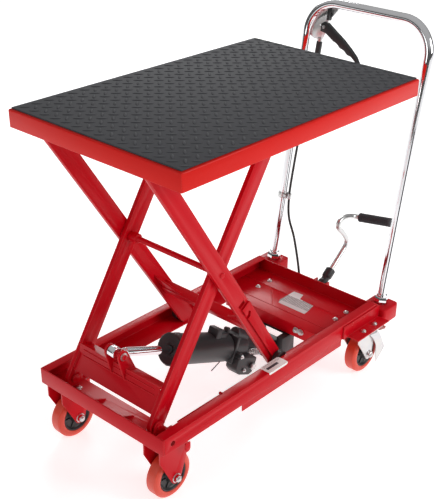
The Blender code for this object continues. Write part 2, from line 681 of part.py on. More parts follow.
def on_ram(distance, lift=0.0, side=0.0):
    """A point at a distance from the ram's eye along its axis, raised square to it."""
    up = Vector((-RAM_AXIS.z, 0, RAM_AXIS.x))
    return RAM_EYE + RAM_AXIS * distance + up * lift + Vector((0, side, 0))


def make_ram_rod():
    eye = rod("ram_rod", RAM_EYE + Vector((0, -0.0060, 0)), RAM_EYE + Vector((0, 0.0125, 0)), 0.0125, colour=CHROME)
    join(eye, rod("ram_shaft", on_ram(0.009), on_ram(CAP_FRONT + 0.039), RAM_ROD_RADIUS, colour=CHROME))
    bore(eye, RAM_EYE + Vector((0, -0.05, 0)), RAM_EYE + Vector((0, 0.05, 0)), 0.0058)
    set_origin(eye, RAM_EYE)


def make_cylinder():
    """Reservoir tube with its front cap and bore, and the pump head behind it."""
    tube = rod("reservoir", on_ram(CAP_FRONT + 0.020), on_ram(TUBE_REAR), RESERVOIR_RADIUS, 32, colour=BLACK_METAL)
    join(tube, rod("front_cap", on_ram(CAP_FRONT), on_ram(CAP_FRONT + 0.028), 0.036, 32, end_radius=0.036))
    bore(tube, on_ram(CAP_FRONT - 0.05), on_ram(BORE_DEPTH), RAM_ROD_RADIUS + 0.0004)
    set_origin(tube, RAM_EYE)
    head = rod("pump_head", on_ram(TUBE_REAR + 0.0005), on_ram(0.405), 0.031, 24, colour=BLACK_METAL)
    join(head, rod("pump_neck", on_ram(0.400), on_ram(0.545), 0.020, 20, colour=BLACK_METAL))
    corners = [(0.352, -0.010), (0.352, -0.040), (0.368, -0.052), (0.408, -0.054), (0.420, -0.044), (0.420, -0.010)]
    flat = [(point.x, point.z) for point in (on_ram(d, u) for d, u in corners)]
    join(head, plate("valve_block", flat, -0.046, -0.014))
    set_origin(head, RAM_EYE)
    valve = rod("valve_plug", on_ram(0.406, -0.031, -0.0463), on_ram(0.406, -0.031, -0.0555), 0.009, 6)
    set_origin(valve, RAM_EYE)


def make_pump_mount():
    """Black yoke under the deck, behind its lip; the pump's neck floats between the two cheeks."""
    back = 0.196
    mount = box("pump_mount", (DECK_FRONT + STEEL + GAP, -0.052, 0.100), (back, 0.052, 0.1367), colour=BLACK_METAL)
    for sign in (-1, 1):
        y = sorted((sign * 0.034, sign * 0.0516))
        corner = [(0.152, 0.060), (0.160, 0.050), (back - 0.0004, 0.050), (back - 0.0004, 0.1060), (0.152, 0.1060)]
        join(mount, plate("mount_cheek", corner, y[0], y[1]))


# ---- push handle and its release lever ----
LEAN = Vector((math.sin(HANDLE_LEAN), 0, math.cos(HANDLE_LEAN)))
HANDLE_LENGTH = (HANDLE_TOP_Z - HANDLE_BASE.z) / math.cos(HANDLE_LEAN)
HANDLE_NORMAL = Vector((math.cos(HANDLE_LEAN), 0, -math.sin(HANDLE_LEAN)))


def on_handle(height, y, outwards=0.0):
    """A point in the handle's own plane: height along its leaning legs and y across."""
    foot = Vector((HANDLE_BASE.x, 0, HANDLE_BASE.z))
    return foot + LEAN * height + Vector((0, y, 0)) + HANDLE_NORMAL * outwards


def make_handle():
    half = HANDLE_BASE.y
    bend = HANDLE_BEND
    points = [on_handle(-0.022, -half)]
    for start, turn in ((180, -1), (90, -1)):
        centre_y = -(half - bend) if start == 180 else half - bend
        for y, height in arc((centre_y, HANDLE_LENGTH - bend), bend, start, start + turn * 90, 8):
            points.append(on_handle(height, y))
    points.append(on_handle(-0.022, half))
    sweep("push_handle", points, HANDLE_TUBE, CHROME, 3)
    for side, sign in SIDES:
        nut = rod("handle_nut_" + side, on_handle(0.0005, sign * half), on_handle(0.0145, sign * half), 0.017, 6,
                  colour=CHROME)
        bore(nut, on_handle(-0.05, sign * half), on_handle(0.05, sign * half), HANDLE_TUBE + GAP * 1.5, 24)
        # the lower face is level with the top of its socket
        under = box("nut_trim", (0.3, sign * half - 0.05, 0.10), (0.45, sign * half + 0.05, 0.1573), CUTTERS, None)
        cut(nut, under)


def flat_on_handle(name, outline, back, front, colour):
    """A plate in the handle's plane, given as (y, height) points."""
    middle = on_handle(0.0, 0.0, (back + front) / 2)
    return flat_piece(name, outline, middle, (0, 1, 0), LEAN, front - back, PARTS, colour)


def make_lever():
    """Quarter-round bracket in the handle's upper right corner, and the squeeze lever on it."""
    top = HANDLE_LENGTH - HANDLE_TUBE - GAP
    side = HANDLE_BASE.y - HANDLE_TUBE - GAP
    bend = HANDLE_BEND - HANDLE_TUBE - GAP * 2
    corner = arc((HANDLE_BASE.y - HANDLE_BEND, HANDLE_LENGTH - HANDLE_BEND), bend, 90, 0, 8)
    outline = [(LEVER_PIVOT_Y - 0.006, top)] + corner
    outline += [(side, HANDLE_LENGTH - 0.085), (LEVER_PIVOT_Y + 0.006, HANDLE_LENGTH - 0.085),
                (LEVER_PIVOT_Y - 0.006, HANDLE_LENGTH - 0.045)]
    bracket = flat_on_handle("lever_bracket", outline, -0.002, 0.002, ZINC)
    pivot_low = on_handle(LEVER_PIVOT_ALONG, LEVER_PIVOT_Y, -0.010)
    pivot_high = on_handle(LEVER_PIVOT_ALONG, LEVER_PIVOT_Y, 0.010)
    join(bracket, rod("lever_pin", pivot_low, pivot_high, 0.003, 16))
    adjuster_top = on_handle(HANDLE_LENGTH - 0.084, 0.1275)
    adjuster_low = on_handle(HANDLE_LENGTH - 0.100, 0.1275)
    join(bracket, rod("cable_adjuster", adjuster_top, adjuster_low, 0.0055, 16))
    shape = [(LEVER_PIVOT_Y + 0.010, LEVER_PIVOT_ALONG - 0.012), (LEVER_PIVOT_Y + 0.012, LEVER_PIVOT_ALONG + 0.006),
             (LEVER_PIVOT_Y - 0.002, LEVER_PIVOT_ALONG + 0.012), (LEVER_PIVOT_Y - 0.056, LEVER_PIVOT_ALONG - 0.020),
             (LEVER_PIVOT_Y - 0.098, LEVER_PIVOT_ALONG - 0.051), (LEVER_PIVOT_Y - 0.108, LEVER_PIVOT_ALONG - 0.066),
             (LEVER_PIVOT_Y - 0.101, LEVER_PIVOT_ALONG - 0.068), (LEVER_PIVOT_Y - 0.050, LEVER_PIVOT_ALONG - 0.036)]
    lever = flat_on_handle("release_lever", shape, -0.0070, 0.0070, BLACK_PLASTIC)
    slot = flat_on_handle("lever_slot", [(LEVER_PIVOT_Y - 0.022, LEVER_PIVOT_ALONG - 0.03),
                                         (LEVER_PIVOT_Y + 0.03, LEVER_PIVOT_ALONG - 0.03),
                                         (LEVER_PIVOT_Y + 0.03, LEVER_PIVOT_ALONG + 0.03),
                                         (LEVER_PIVOT_Y - 0.022, LEVER_PIVOT_ALONG + 0.03)], -0.0026, 0.0026, None)
    PARTS.objects.unlink(slot)
    CUTTERS.objects.link(slot)
    slot.hide_render = True
    slot.display_type = "WIRE"
    cut(lever, slot)
    bore(lever, on_handle(LEVER_PIVOT_ALONG, LEVER_PIVOT_Y, -0.03), on_handle(LEVER_PIVOT_ALONG, LEVER_PIVOT_Y, 0.03),
         0.0033, 16)
    set_origin(lever, on_handle(LEVER_PIVOT_ALONG, LEVER_PIVOT_Y))


def make_release_cable():
    """Sleeved cable from the lever, down beside the handle's right leg, through a clip and on to the pump."""
    route = [
        on_handle(HANDLE_LENGTH - 0.1003, 0.1275),
        on_handle(HANDLE_LENGTH - 0.130, 0.1280),
        on_handle(HANDLE_LENGTH - 0.200, 0.1350),
        on_handle(HANDLE_LENGTH - 0.300, 0.1430),
        on_handle(0.250, 0.1470),
        on_handle(0.172, 0.1470),
        on_handle(0.120, 0.1380),
        (0.392, 0.110, 0.235),
        (0.380, 0.088, 0.190),
        (0.368, 0.070, 0.150),
        (0.350, 0.052, 0.126),
        (0.310, 0.036, 0.115),
        (0.250, 0.024, 0.110),
        (0.1963, 0.018, 0.108),
    ]
    sweep("release_cable", smooth_route(route, 0.016), 0.003, BLACK_PLASTIC, 2)


def make_cable_clip():
    """Band round the handle leg with an ear that holds the cable."""
    y = HANDLE_BASE.y
    clip = rod("cable_clip", on_handle(0.165, y), on_handle(0.179, y), 0.0135, 20)
    join(clip, rod("clip_ear", on_handle(0.165, 0.1470), on_handle(0.179, 0.1470), 0.0065, 16))
    bore(clip, on_handle(0.1, y), on_handle(0.25, y), HANDLE_TUBE + GAP * 1.5, 24)
    bore(clip, on_handle(0.150, 0.1470), on_handle(0.195, 0.1470), 0.0040, 16)


# ---- foot pedal ----
def make_pedal():
    """Socket on the pivot, S-bent rod, and a ribbed rubber grip across its end."""
    rise = math.radians(38)
    along = Vector((math.cos(rise), 0, math.sin(rise)))
    socket = rod("pedal_socket", PEDAL_PIVOT + Vector((0, -0.0145, 0)), PEDAL_PIVOT + Vector((0, 0.0145, 0)), 0.012, 20,
                 colour=BLACK_METAL)
    join(socket, rod("socket_arm", PEDAL_PIVOT, PEDAL_PIVOT + along * 0.052, 0.0125, 20))
    bore(socket, PEDAL_PIVOT + Vector((0, -0.05, 0)), PEDAL_PIVOT + Vector((0, 0.05, 0)), 0.0043, 16)
    bore(socket, PEDAL_PIVOT + along * 0.030, PEDAL_PIVOT + along * 0.080, 0.0068, 16)
    set_origin(socket, PEDAL_PIVOT)
    start = PEDAL_PIVOT + along * 0.031
    route = [start, PEDAL_PIVOT + along * 0.055, (0.4440, 0.0, 0.2085), (0.4588, 0.0, 0.2230), (0.4595, 0.0, 0.2400),
             (0.4426, 0.0, 0.2620), (0.4225, 0.0, 0.2826), (0.4225, 0.0, 0.2975), (0.4378, 0.0, 0.3040),
             (0.4580, -0.0005, 0.3023), (0.4760, -0.0040, 0.2975), (0.4850, -0.0140, 0.2955), (0.4868, -0.0300, 0.2970),
             (0.4890, -0.0550, 0.2995), (0.4930, -0.0880, 0.3045)]
    grip_start, grip_end = Vector((0.4862, -0.0180, 0.2955)), Vector((0.4946, -0.1040, 0.3060))
    pedal_rod = sweep("pedal_rod", smooth_route(route, 0.012), 0.0062, ZINC, 3)
    set_origin(pedal_rod, PEDAL_PIVOT)
    grip = rod("pedal_grip", grip_start, grip_end, 0.0115, 20, colour=RUBBER)
    way = (grip_end - grip_start).normalized()
    bore(grip, grip_start - way * 0.02, grip_end - way * 0.008, 0.0076, 20)
    set_origin(grip, PEDAL_PIVOT)


def main():
    make_front_channel()
    make_deck()
    make_rear_channel()
    for side, sign in SIDES:
        make_side_rail(side, sign)
        make_caster_bracket(side, sign)
        make_handle_socket(side, sign)
        make_base_hinge(side, sign)
        make_front_caster(side, sign)
        make_rear_caster(side, sign)
        make_inner_leg(side, sign)
        make_outer_leg(side, sign)
    make_centre_rod()
    make_inner_cross_plate()
    make_outer_cross_tie()
    make_rollers()
    make_safety_bar()
    make_platform()
    make_ram_rod()
    make_cylinder()
    make_pump_mount()
    make_handle()
    make_lever()
    make_release_cable()
    make_cable_clip()
    make_pedal()


main()
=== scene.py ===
"""Finishes a hydraulic scissor lift table: paint, mat, wheels, hydraulics, handle, fittings and studio."""

import json
import math

import bmesh
import bpy
from bpy.props import FloatProperty, FloatVectorProperty, IntProperty, PointerProperty
from mathutils import Matrix, Vector

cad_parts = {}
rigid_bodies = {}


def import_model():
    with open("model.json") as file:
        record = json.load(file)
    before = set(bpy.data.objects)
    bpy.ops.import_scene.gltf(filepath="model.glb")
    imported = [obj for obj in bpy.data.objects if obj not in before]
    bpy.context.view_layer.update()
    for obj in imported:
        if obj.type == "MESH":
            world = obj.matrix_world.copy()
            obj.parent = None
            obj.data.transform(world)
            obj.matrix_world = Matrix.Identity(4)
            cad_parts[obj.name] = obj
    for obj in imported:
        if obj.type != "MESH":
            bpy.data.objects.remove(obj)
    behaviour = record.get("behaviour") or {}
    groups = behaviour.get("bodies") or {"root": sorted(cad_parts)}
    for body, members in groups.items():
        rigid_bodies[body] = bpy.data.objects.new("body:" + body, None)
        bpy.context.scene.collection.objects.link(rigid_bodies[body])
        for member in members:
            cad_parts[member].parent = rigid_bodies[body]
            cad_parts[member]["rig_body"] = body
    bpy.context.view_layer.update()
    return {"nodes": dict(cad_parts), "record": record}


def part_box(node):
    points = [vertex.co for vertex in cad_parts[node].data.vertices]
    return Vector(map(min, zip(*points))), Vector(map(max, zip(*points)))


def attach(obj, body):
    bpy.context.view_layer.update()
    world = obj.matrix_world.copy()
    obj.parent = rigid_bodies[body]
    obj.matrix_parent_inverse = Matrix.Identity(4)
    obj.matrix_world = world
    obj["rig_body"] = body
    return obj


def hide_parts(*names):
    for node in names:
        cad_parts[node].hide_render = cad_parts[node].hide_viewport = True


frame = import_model()
NODES = frame["nodes"]

bl_info = {
    "name": "Scissor Lift Table Finish",
    "version": (1, 0, 0),
    "blender": (4, 5, 0),
    "location": "3D View > Sidebar > Lift Table",
    "description": "Adds the finished surfaces and small fittings to a scissor lift table's frame",
    "category": "Object",
}

SIDES = (("left", -1), ("right", 1))


# ---------------------------------------------------------------- node maths
class Wire:
    """A node socket that takes part in Python arithmetic."""

    def __init__(self, tree, socket):
        self.tree = tree
        self.socket = socket

    def maths(self, operation, first, second=None):
        values = [first] if second is None else [first, second]
        return self.tree.node("ShaderNodeMath", {"operation": operation}, dict(enumerate(values)))

    def __add__(self, other):
        return self.maths("ADD", self, other)

    __radd__ = __add__

    def __sub__(self, other):
        return self.maths("SUBTRACT", self, other)

    def __rsub__(self, other):
        return self.maths("SUBTRACT", other, self)

    def __mul__(self, other):
        return self.maths("MULTIPLY", self, other)

    __rmul__ = __mul__

    def __truediv__(self, other):
        return self.maths("DIVIDE", self, other)

    def __rtruediv__(self, other):
        return self.maths("DIVIDE", other, self)

    def __pow__(self, other):
        return self.maths("POWER", self, other)

    def fraction(self):
        return self.maths("FRACT", self)

    def over(self, limit):
        return self.maths("GREATER_THAN", self, limit)

    def clamped(self):
        return self.maths("MAXIMUM", self.maths("MINIMUM", self, 1.0), 0.0)


class NodeMaker:
    """The only place where nodes are made: a type, then its settings, then its inputs."""

    nodes = None
    links = None

    def node(self, kind, settings=None, inputs=None, output=0):
        made = self.nodes.new(kind)
        for key, value in (settings or {}).items():
            if key == "stops":
                self.stops(made.color_ramp, value)
            else:
                setattr(made, key, value)
        for key, value in (inputs or {}).items():
            self.put(made.inputs[key], value)
        return Wire(self, made.outputs[output])

    @staticmethod
    def stops(ramp, stops):
        """Sets a colour ramp's stops, each a place along it and a colour."""
        while len(ramp.elements) < len(stops):
            ramp.elements.new(0.5)
        for element, (position, colour) in zip(ramp.elements, stops):
            element.position = position
            element.color = (*colour, 1.0)

    def put(self, socket, value):
        if isinstance(value, (list, tuple)) and value and isinstance(value[0], Wire):
            for item in reversed(value):
                self.links.new(item.socket, socket)
        elif isinstance(value, Wire):
            self.links.new(value.socket, socket)
        elif hasattr(value, "__len__") and len(value) == 3 and socket.type == "RGBA":
            socket.default_value = (*value, 1.0)
        else:
            socket.default_value = value


class Growth(NodeMaker):
    """A Geometry Nodes tree with named inputs."""

    def __init__(self, name):
        self.group = bpy.data.node_groups.new(name, "GeometryNodeTree")
        self.nodes, self.links = self.group.nodes, self.group.links
        self.group.interface.new_socket("Geometry", in_out="OUTPUT", socket_type="NodeSocketGeometry")
        self.entry = self.nodes.new("NodeGroupInput")
        self.geometry = self.want("Geometry", "Geometry")

    def want(self, name, kind, default=None):
        made = self.group.interface.new_socket(name, in_out="INPUT", socket_type="NodeSocket" + kind)
        if default is not None:
            made.default_value = default
        return Wire(self, self.entry.outputs[name])

    def vector(self, x=0.0, y=0.0, z=0.0):
        return self.node("ShaderNodeCombineXYZ", None, {0: x, 1: y, 2: z})

    def moved(self, geometry, place=None, turn=None, scale=None):
        inputs = {"Geometry": geometry}
        inputs.update({key: value for key, value in
                       (("Translation", place), ("Rotation", turn), ("Scale", scale)) if value is not None})
        return self.node("GeometryNodeTransform", None, inputs)

    def frustum(self, sides, bottom, top, depth, level):
        inputs = {"Vertices": sides, "Radius Top": top, "Radius Bottom": bottom, "Depth": depth}
        return self.moved(self.node("GeometryNodeMeshCone", None, inputs), self.vector(z=level))

    def closing(self, geometry, material):
        """Every tree ends in real geometry with its material set."""
        real = self.node("GeometryNodeRealizeInstances", None, {"Geometry": geometry})
        done = self.node("GeometryNodeSetMaterial", None, {"Geometry": real, "Material": material})
        leave = self.nodes.new("NodeGroupOutput")
        self.links.new(done.socket, leave.inputs[0])
        return self.group


class Finish(NodeMaker):
    """One procedural material."""

    def __init__(self, name):
        self.material = bpy.data.materials.new(name)
        self.material.use_nodes = True
        tree = self.material.node_tree
        tree.nodes.clear()
        self.nodes, self.links = tree.nodes, tree.links
        self.shader = tree.nodes.new("ShaderNodeBsdfPrincipled")
        output = tree.nodes.new("ShaderNodeOutputMaterial")
        tree.links.new(self.shader.outputs[0], output.inputs[0])

    def surface(self, **values):
        for key, value in values.items():
            self.put(self.shader.inputs[key.replace("_", " ").title().replace("Ior", "IOR")], value)
        return self.material

    def place(self, scale=(1, 1, 1), offset=(0, 0, 0)):
        point = self.node("ShaderNodeTexCoord", output="Object")
        return self.node("ShaderNodeMapping", None, {"Vector": point, "Scale": scale, "Location": offset})

    def noise(self, scale, detail=3.0, roughness=0.55, place=None):
        inputs = {"Vector": place or self.place(), "Scale": scale, "Detail": detail, "Roughness": roughness}
        return self.node("ShaderNodeTexNoise", None, inputs)

    def mix(self, amount, first, second):
        return self.node(
            "ShaderNodeMix", {"data_type": "RGBA"}, {"Factor": amount, 6: first, 7: second}, 2
        )

    def bump(self, height, strength, distance, normal=None):
        inputs = {"Height": height, "Strength": strength, "Distance": distance}
        if normal is not None:
            inputs["Normal"] = normal
        return self.node("ShaderNodeBump", None, inputs)

    def edges(self, radius):
        """1 along outer edges and in tight corners, 0 on open faces."""
        soft = self.node("ShaderNodeBevel", {"samples": 4}, {"Radius": radius})
        true = self.node("ShaderNodeNewGeometry", output="Normal")
        same = self.node("ShaderNodeVectorMath", {"operation": "DOT_PRODUCT"}, {0: soft, 1: true}, "Value")
        return ((1.0 - same) * 4.0).clamped()


class Dome(NodeMaker):
    """The world's own nodes."""

    def __init__(self, world):
        world.use_nodes = True
        self.nodes, self.links = world.node_tree.nodes, world.node_tree.links
        self.background = self.nodes["Background"]


def shade(colour, factor):
    """The same colour darker or lighter."""
    return tuple(min(1.0, channel * factor) for channel in colour)


def paint_finish(name, colour, edge_highlight, roughness, seed):
    """Powder coat: an orange-peel skin, slow drifts of tone, and a paler painted highlight along the edges.
    """
    made = Finish(name)
    here = made.place(offset=(seed, seed * 0.7, seed * 0.3))
    drift = made.noise(5.0, 2.0, place=here)
    speck = made.noise(260.0, 2.0, place=here)
    tone = made.mix(drift, shade(colour, 0.93), shade(colour, 1.06))
    tone = made.mix(speck * 0.12, tone, shade(colour, 0.72))
    # painted highlight: the edges are mixed towards a paler red, standing in for light caught on them
    tone = made.mix(made.edges(0.0020) * (0.30 + drift * 0.50), tone, edge_highlight)
    peel = made.noise(700.0, 1.0, place=here)
    return made.surface(
        base_color=tone,
        roughness=roughness + 0.10 * (drift - 0.5) + 0.06 * (speck - 0.5),
        coat_weight=0.03,
        coat_roughness=0.20,
        specular_ior_level=0.11,
        normal=made.bump(peel, 0.10, 0.0002),
    )


def rubber_finish(name, colour):
    """Moulded rubber: dull and dusty, with painted shade along the bump rims and in the hollows, and a little
    shiny where feet and loads have polished it.
    """
    made = Finish(name)
    dust = made.noise(9.0, 4.0)
    grain = made.noise(900.0, 2.0)
    rim_shade_and_rub = made.edges(0.0022)
    tone = made.mix(dust, shade(colour, 0.85), shade(colour, 1.15))
    # painted shade: the rims of the bumps and the hollows are darkened, standing in for shading
    tone = made.mix(rim_shade_and_rub * 0.85, tone, shade(colour, 0.30))
    return made.surface(
        base_color=tone,
        roughness=0.70 + 0.12 * dust - 0.10 * rim_shade_and_rub,
        specular_ior_level=0.22,
        normal=made.bump(grain, 0.25, 0.0002),
    )


def chrome_finish(name, tint):
    """Bright chrome with faint handling haze and hairline scratches along the tube."""
    made = Finish(name)
    haze = made.noise(14.0, 3.0)
    hair = made.noise(60.0, 4.0, place=made.place(scale=(14, 14, 1)))
    return made.surface(
        base_color=made.mix(haze, shade(tint, 0.95), shade(tint, 1.05)),
        metallic=1.0,
        roughness=0.045 + 0.07 * haze * hair,
        normal=made.bump(hair, 0.02, 0.0002),
    )


def zinc_finish(name, tint, scale=45.0):
    """Bright zinc plate: small clouded patches, slightly bluish and yellowish."""
    made = Finish(name)
    inputs = {"Vector": made.place(), "Scale": scale}
    patch = made.node("ShaderNodeTexVoronoi", {"feature": "SMOOTH_F1"}, inputs)
    cloud = made.noise(scale * 0.6, 4.0)
    tone = made.mix(cloud, (0.60, 0.62, 0.66), tint)
    tone = made.mix(patch * 0.5, tone, (0.80, 0.77, 0.68))
    return made.surface(
        base_color=tone,
        metallic=1.0,
        roughness=0.20 + 0.22 * cloud,
        normal=made.bump(cloud, 0.12, 0.0003),
    )


def casting_finish(name, colour, metallic=0.0, grain=420.0):
    """Black enamel over a sand casting."""
    made = Finish(name)
    sand = made.noise(grain, 3.0)
    drift = made.noise(16.0, 3.0)
    tone = made.mix(drift, shade(colour, 0.7), shade(colour, 1.5))
    # painted highlight: the edges are mixed towards a paler grey, standing in for light caught on them
    tone = made.mix(made.edges(0.0015) * 0.4, tone, shade(colour, 4.0))
    return made.surface(
        base_color=tone,
        metallic=metallic,
        roughness=0.34 + 0.14 * drift,
        specular_ior_level=0.55,
        normal=made.bump(sand, 0.30, 0.0004),
    )


def plastic_finish(name, colour, roughness=0.4):
    """Moulded plastic with a fine spark-eroded grain and paler edges painted as a highlight."""
    made = Finish(name)
    grain = made.noise(1200.0, 2.0)
    drift = made.noise(20.0, 3.0)
    tone = made.mix(drift, shade(colour, 0.8), shade(colour, 1.3))
    # painted highlight: the edges are mixed towards a paler grey, standing in for light caught on them
    tone = made.mix(made.edges(0.0010) * 0.3, tone, shade(colour, 3.0))
    return made.surface(
        base_color=tone,
        roughness=roughness + 0.12 * (drift - 0.5),
        normal=made.bump(grain, 0.15, 0.0002),
    )


def tread_finish(name, colour):
    """Cast polyurethane: even and slightly translucent, scuffed by fine grit."""
    made = Finish(name)
    cloud = made.noise(24.0, 3.0)
    grit = made.noise(500.0, 4.0, 0.7)
    tone = made.mix(cloud, shade(colour, 0.90), shade(colour, 1.08))
    tone = made.mix(grit * grit * 0.35, tone, shade(colour, 0.55))
    return made.surface(
        base_color=tone,
        roughness=0.30 + 0.20 * grit,
        coat_weight=0.15,
        normal=made.bump(grit, 0.10, 0.0003),
    )


def label_finish(name, paper, blocks, lines, pitch):
    """Paper with printed blocks and rows of broken lines.

    A region is (low x, high x, low y, high y, colour).
    """
    made = Finish(name)
    point = made.node("ShaderNodeTexCoord", output="Object")
    axes = made.node("ShaderNodeSeparateXYZ", None, {0: point}).socket.node.outputs
    x, y = (Wire(made, socket) for socket in axes[:2])

    def inside(low_x, high_x, low_y, high_y):
        return x.over(low_x) * (1.0 - x.over(high_x)) * y.over(low_y) * (1.0 - y.over(high_y))

    grime = made.noise(60.0, 3.0)
    tone = made.mix(grime, shade(paper, 1.04), shade(paper, 0.94))
    for *region, colour in blocks:
        tone = made.mix(inside(*region), tone, colour)
    for *region, colour in lines:
        words = (y / pitch).fraction().over(0.5) * made.noise(700.0, 1.0).over(0.47)
        tone = made.mix(inside(*region) * words * 0.8, tone, colour)
    return made.surface(base_color=tone, roughness=0.45 + 0.1 * grime)


# The printed regions: low and high x, then low and high y
WHITE_PAPER, GREY_FOIL = (0.84, 0.84, 0.82), (0.30, 0.27, 0.27)
INK, INK_GREY, LINE_GREY = (0.05, 0.05, 0.06), (0.12, 0.12, 0.13), (0.75, 0.73, 0.73)
WHITE_FOIL, PALE_FOIL = (0.80, 0.80, 0.80), (0.66, 0.62, 0.62)
HEADING = (-0.048, -0.012, -0.1730, -0.1660)
SMALL_PRINT = (-0.050, 0.002, -0.1640, -0.1570)
WHITE_CORNER = (0.2770, 0.3100, -0.01, 0.04)
PALE_STRIP = (0.2300, 0.2465, -0.06, 0.03)
PLATE_LINES = (0.2480, 0.2760, -0.048, 0.033)
FINISHES = {}


def finish(name):
    """The shared material of that name, made when it is first asked for."""
    if name in FINISHES:
        return FINISHES[name]
    tones = bpy.context.scene.lift_colours
    recipes = {
        "red_paint": lambda: paint_finish("red powder coat", tones.paint, tones.worn_paint, 0.30, 0.0),
        "platform_paint": lambda: paint_finish(
            "red platform coat", tones.platform_paint, tones.worn_paint, 0.30, 3.1
        ),
        "black_rubber": lambda: rubber_finish("ribbed rubber", tones.rubber),
        "chrome": lambda: chrome_finish("chrome plate", tones.chrome),
        "zinc_plate": lambda: zinc_finish("zinc plate", tones.zinc),
        "black_casting": lambda: casting_finish("black enamelled casting", tones.casting),
        "black_plastic": lambda: plastic_finish("black moulded plastic", tones.plastic),
        "red_polyurethane": lambda: tread_finish("red polyurethane", tones.tread),
        "brake_tab_red": lambda: plastic_finish("brown-red pedal cap", tones.brake, 0.5),
        "label_paper": lambda: label_finish(
            "printed label", WHITE_PAPER, ((*HEADING, INK),), ((*SMALL_PRINT, INK_GREY),), 0.0024
        ),
        "data_plate": lambda: label_finish(
            "lined data plate", GREY_FOIL, ((*WHITE_CORNER, WHITE_FOIL), (*PALE_STRIP, PALE_FOIL)),
            ((*PLATE_LINES, LINE_GREY),), 0.0052
        ),
    }
    FINISHES[name] = recipes[name]()
    return FINISHES[name]


# ---------------------------------------------------------------- making meshes
def linked(name, bm):
    bmesh.ops.recalc_face_normals(bm, faces=bm.faces)
    mesh = bpy.data.meshes.new(name)
    bm.to_mesh(mesh)
    bm.free()
    obj = bpy.data.objects.new(name, mesh)
    bpy.context.scene.collection.objects.link(obj)
    return obj


def applied(obj):
    """The object's evaluated shape as a plain mesh object at the origin."""
    bpy.context.view_layer.update()
    graph = bpy.context.evaluated_depsgraph_get()
    mesh = bpy.data.meshes.new_from_object(obj.evaluated_get(graph))
    mesh.transform(obj.matrix_world)
    name = obj.name
    bpy.data.objects.remove(obj, do_unlink=True)
    plain = bpy.data.objects.new(name, mesh)
    bpy.context.scene.collection.objects.link(plain)
    mesh.name = name
    return plain


def bevelled(obj, width, segments=2, limit=30.0):
    step = obj.modifiers.new("edge", "BEVEL")
    step.width = width
    step.segments = segments
    step.limit_method = "ANGLE"
    step.angle_limit = math.radians(limit)
    step.use_clamp_overlap = True
    return applied(obj)


def along(direction):
    """A turn that takes the upright to a direction."""
    return Vector((0, 0, 1)).rotation_difference(Vector(direction)).to_matrix().to_4x4()


def turned(name, profile, start, direction, steps=48, ring=False, phase=0.0):
    """A round piece turned about a line; the profile is (distance along it, radius)."""
    bm = bmesh.new()
    points = [bm.verts.new((radius, 0, distance)) for distance, radius in profile]
    edges = [bm.edges.new(pair) for pair in zip(points, points[1:])]
    if ring:
        edges.append(bm.edges.new((points[-1], points[0])))
    bmesh.ops.spin(
        bm, geom=points + edges, cent=(0, 0, 0), axis=(0, 0, 1), angle=math.tau, steps=steps, use_merge=True
    )
    bmesh.ops.remove_doubles(bm, verts=bm.verts, dist=1e-6)
    bmesh.ops.transform(bm, matrix=Matrix.Rotation(phase, 4, "Z"), verts=bm.verts)
    bmesh.ops.transform(bm, matrix=Matrix.Translation(start) @ along(direction), verts=bm.verts)
    return linked(name, bm)


def filleted(points, radius, count=3, ring=True):
    """The same outline with each corner rounded."""
    found = []
    total = len(points)
    for i, point in enumerate(points):
        here = Vector(point)
        if not ring and i in (0, total - 1):
            found.append(tuple(here))
            continue
        before, after = Vector(points[i - 1]), Vector(points[(i + 1) % total])
        reach = min(radius, (before - here).length * 0.45, (after - here).length * 0.45)
        first = here + (before - here).normalized() * reach
        last = here + (after - here).normalized() * reach
        for k in range(count + 1):
            t = k / count
            found.append(tuple(first * (1 - t) ** 2 + here * 2 * t * (1 - t) + last * t ** 2))
    return found


def bar(name, start, end, radius, steps=32, edge=0.0006):
    """A straight round bar with broken edges."""
    start, end = Vector(start), Vector(end)
    length = (end - start).length
    neck = radius - edge
    profile = [(0, 0), (0, neck), (edge, radius), (length - edge, radius), (length, neck), (length, 0)]
    return turned(name, profile, start, end - start, steps)


def nut(name, start, end, radius, phase=0.0, steps=6):
    """A six-sided nut with its corners turned back."""
    start, end = Vector(start), Vector(end)
    length = (end - start).length
    profile = [(0, 0), (0, radius * 0.90), (length * 0.12, radius), (length * 0.82, radius),
               (length, radius * 0.86), (length, 0)]
    return turned(name, profile, start, end - start, steps, phase=phase)


def tube(name, points, radius, fineness=8, caps=True):
    """A round tube along a route."""
    data = bpy.data.curves.new(name, "CURVE")
    data.dimensions = "3D"
    data.bevel_depth = radius
    data.bevel_resolution = fineness
    data.use_fill_caps = caps
    line = data.splines.new("POLY")
    line.points.add(len(points) - 1)
    for spot, point in zip(line.points, points):
        spot.co = (*point, 1.0)
    obj = bpy.data.objects.new(name, data)
    bpy.context.scene.collection.objects.link(obj)
    return applied(obj)


def block(name, low, high, edge=0.0010, turn=None, segments=2):
    """A box with rounded edges, turned about its own corner of the world if asked."""
    bm = bmesh.new()
    bmesh.ops.create_cube(bm, size=1.0)
    bmesh.ops.scale(bm, vec=Vector(high) - Vector(low), verts=bm.verts)
    bmesh.ops.translate(bm, vec=(Vector(high) + Vector(low)) / 2, verts=bm.verts)
    if turn is not None:
        bmesh.ops.transform(bm, matrix=turn, verts=bm.verts)
    return bevelled(linked(name, bm), edge, segments)


def flat(name, outline, place, across, upright, thickness, edge=0.0006, segments=2):
    """A flat piece cut to an outline and thickened on both sides of its plane."""
    across, upright = Vector(across).normalized(), Vector(upright).normalized()
    out = across.cross(upright)
    bm = bmesh.new()
    ring = [bm.verts.new(Vector(place) + across * u + upright * v - out * thickness / 2) for u, v in outline]
    face = bm.faces.new(ring)
    grown = bmesh.ops.extrude_face_region(bm, geom=[face])
    moved = [item for item in grown["geom"] if isinstance(item, bmesh.types.BMVert)]
    bmesh.ops.translate(bm, vec=out * thickness, verts=moved)
    obj = linked(name, bm)
    return bevelled(obj, edge, segments) if edge else obj


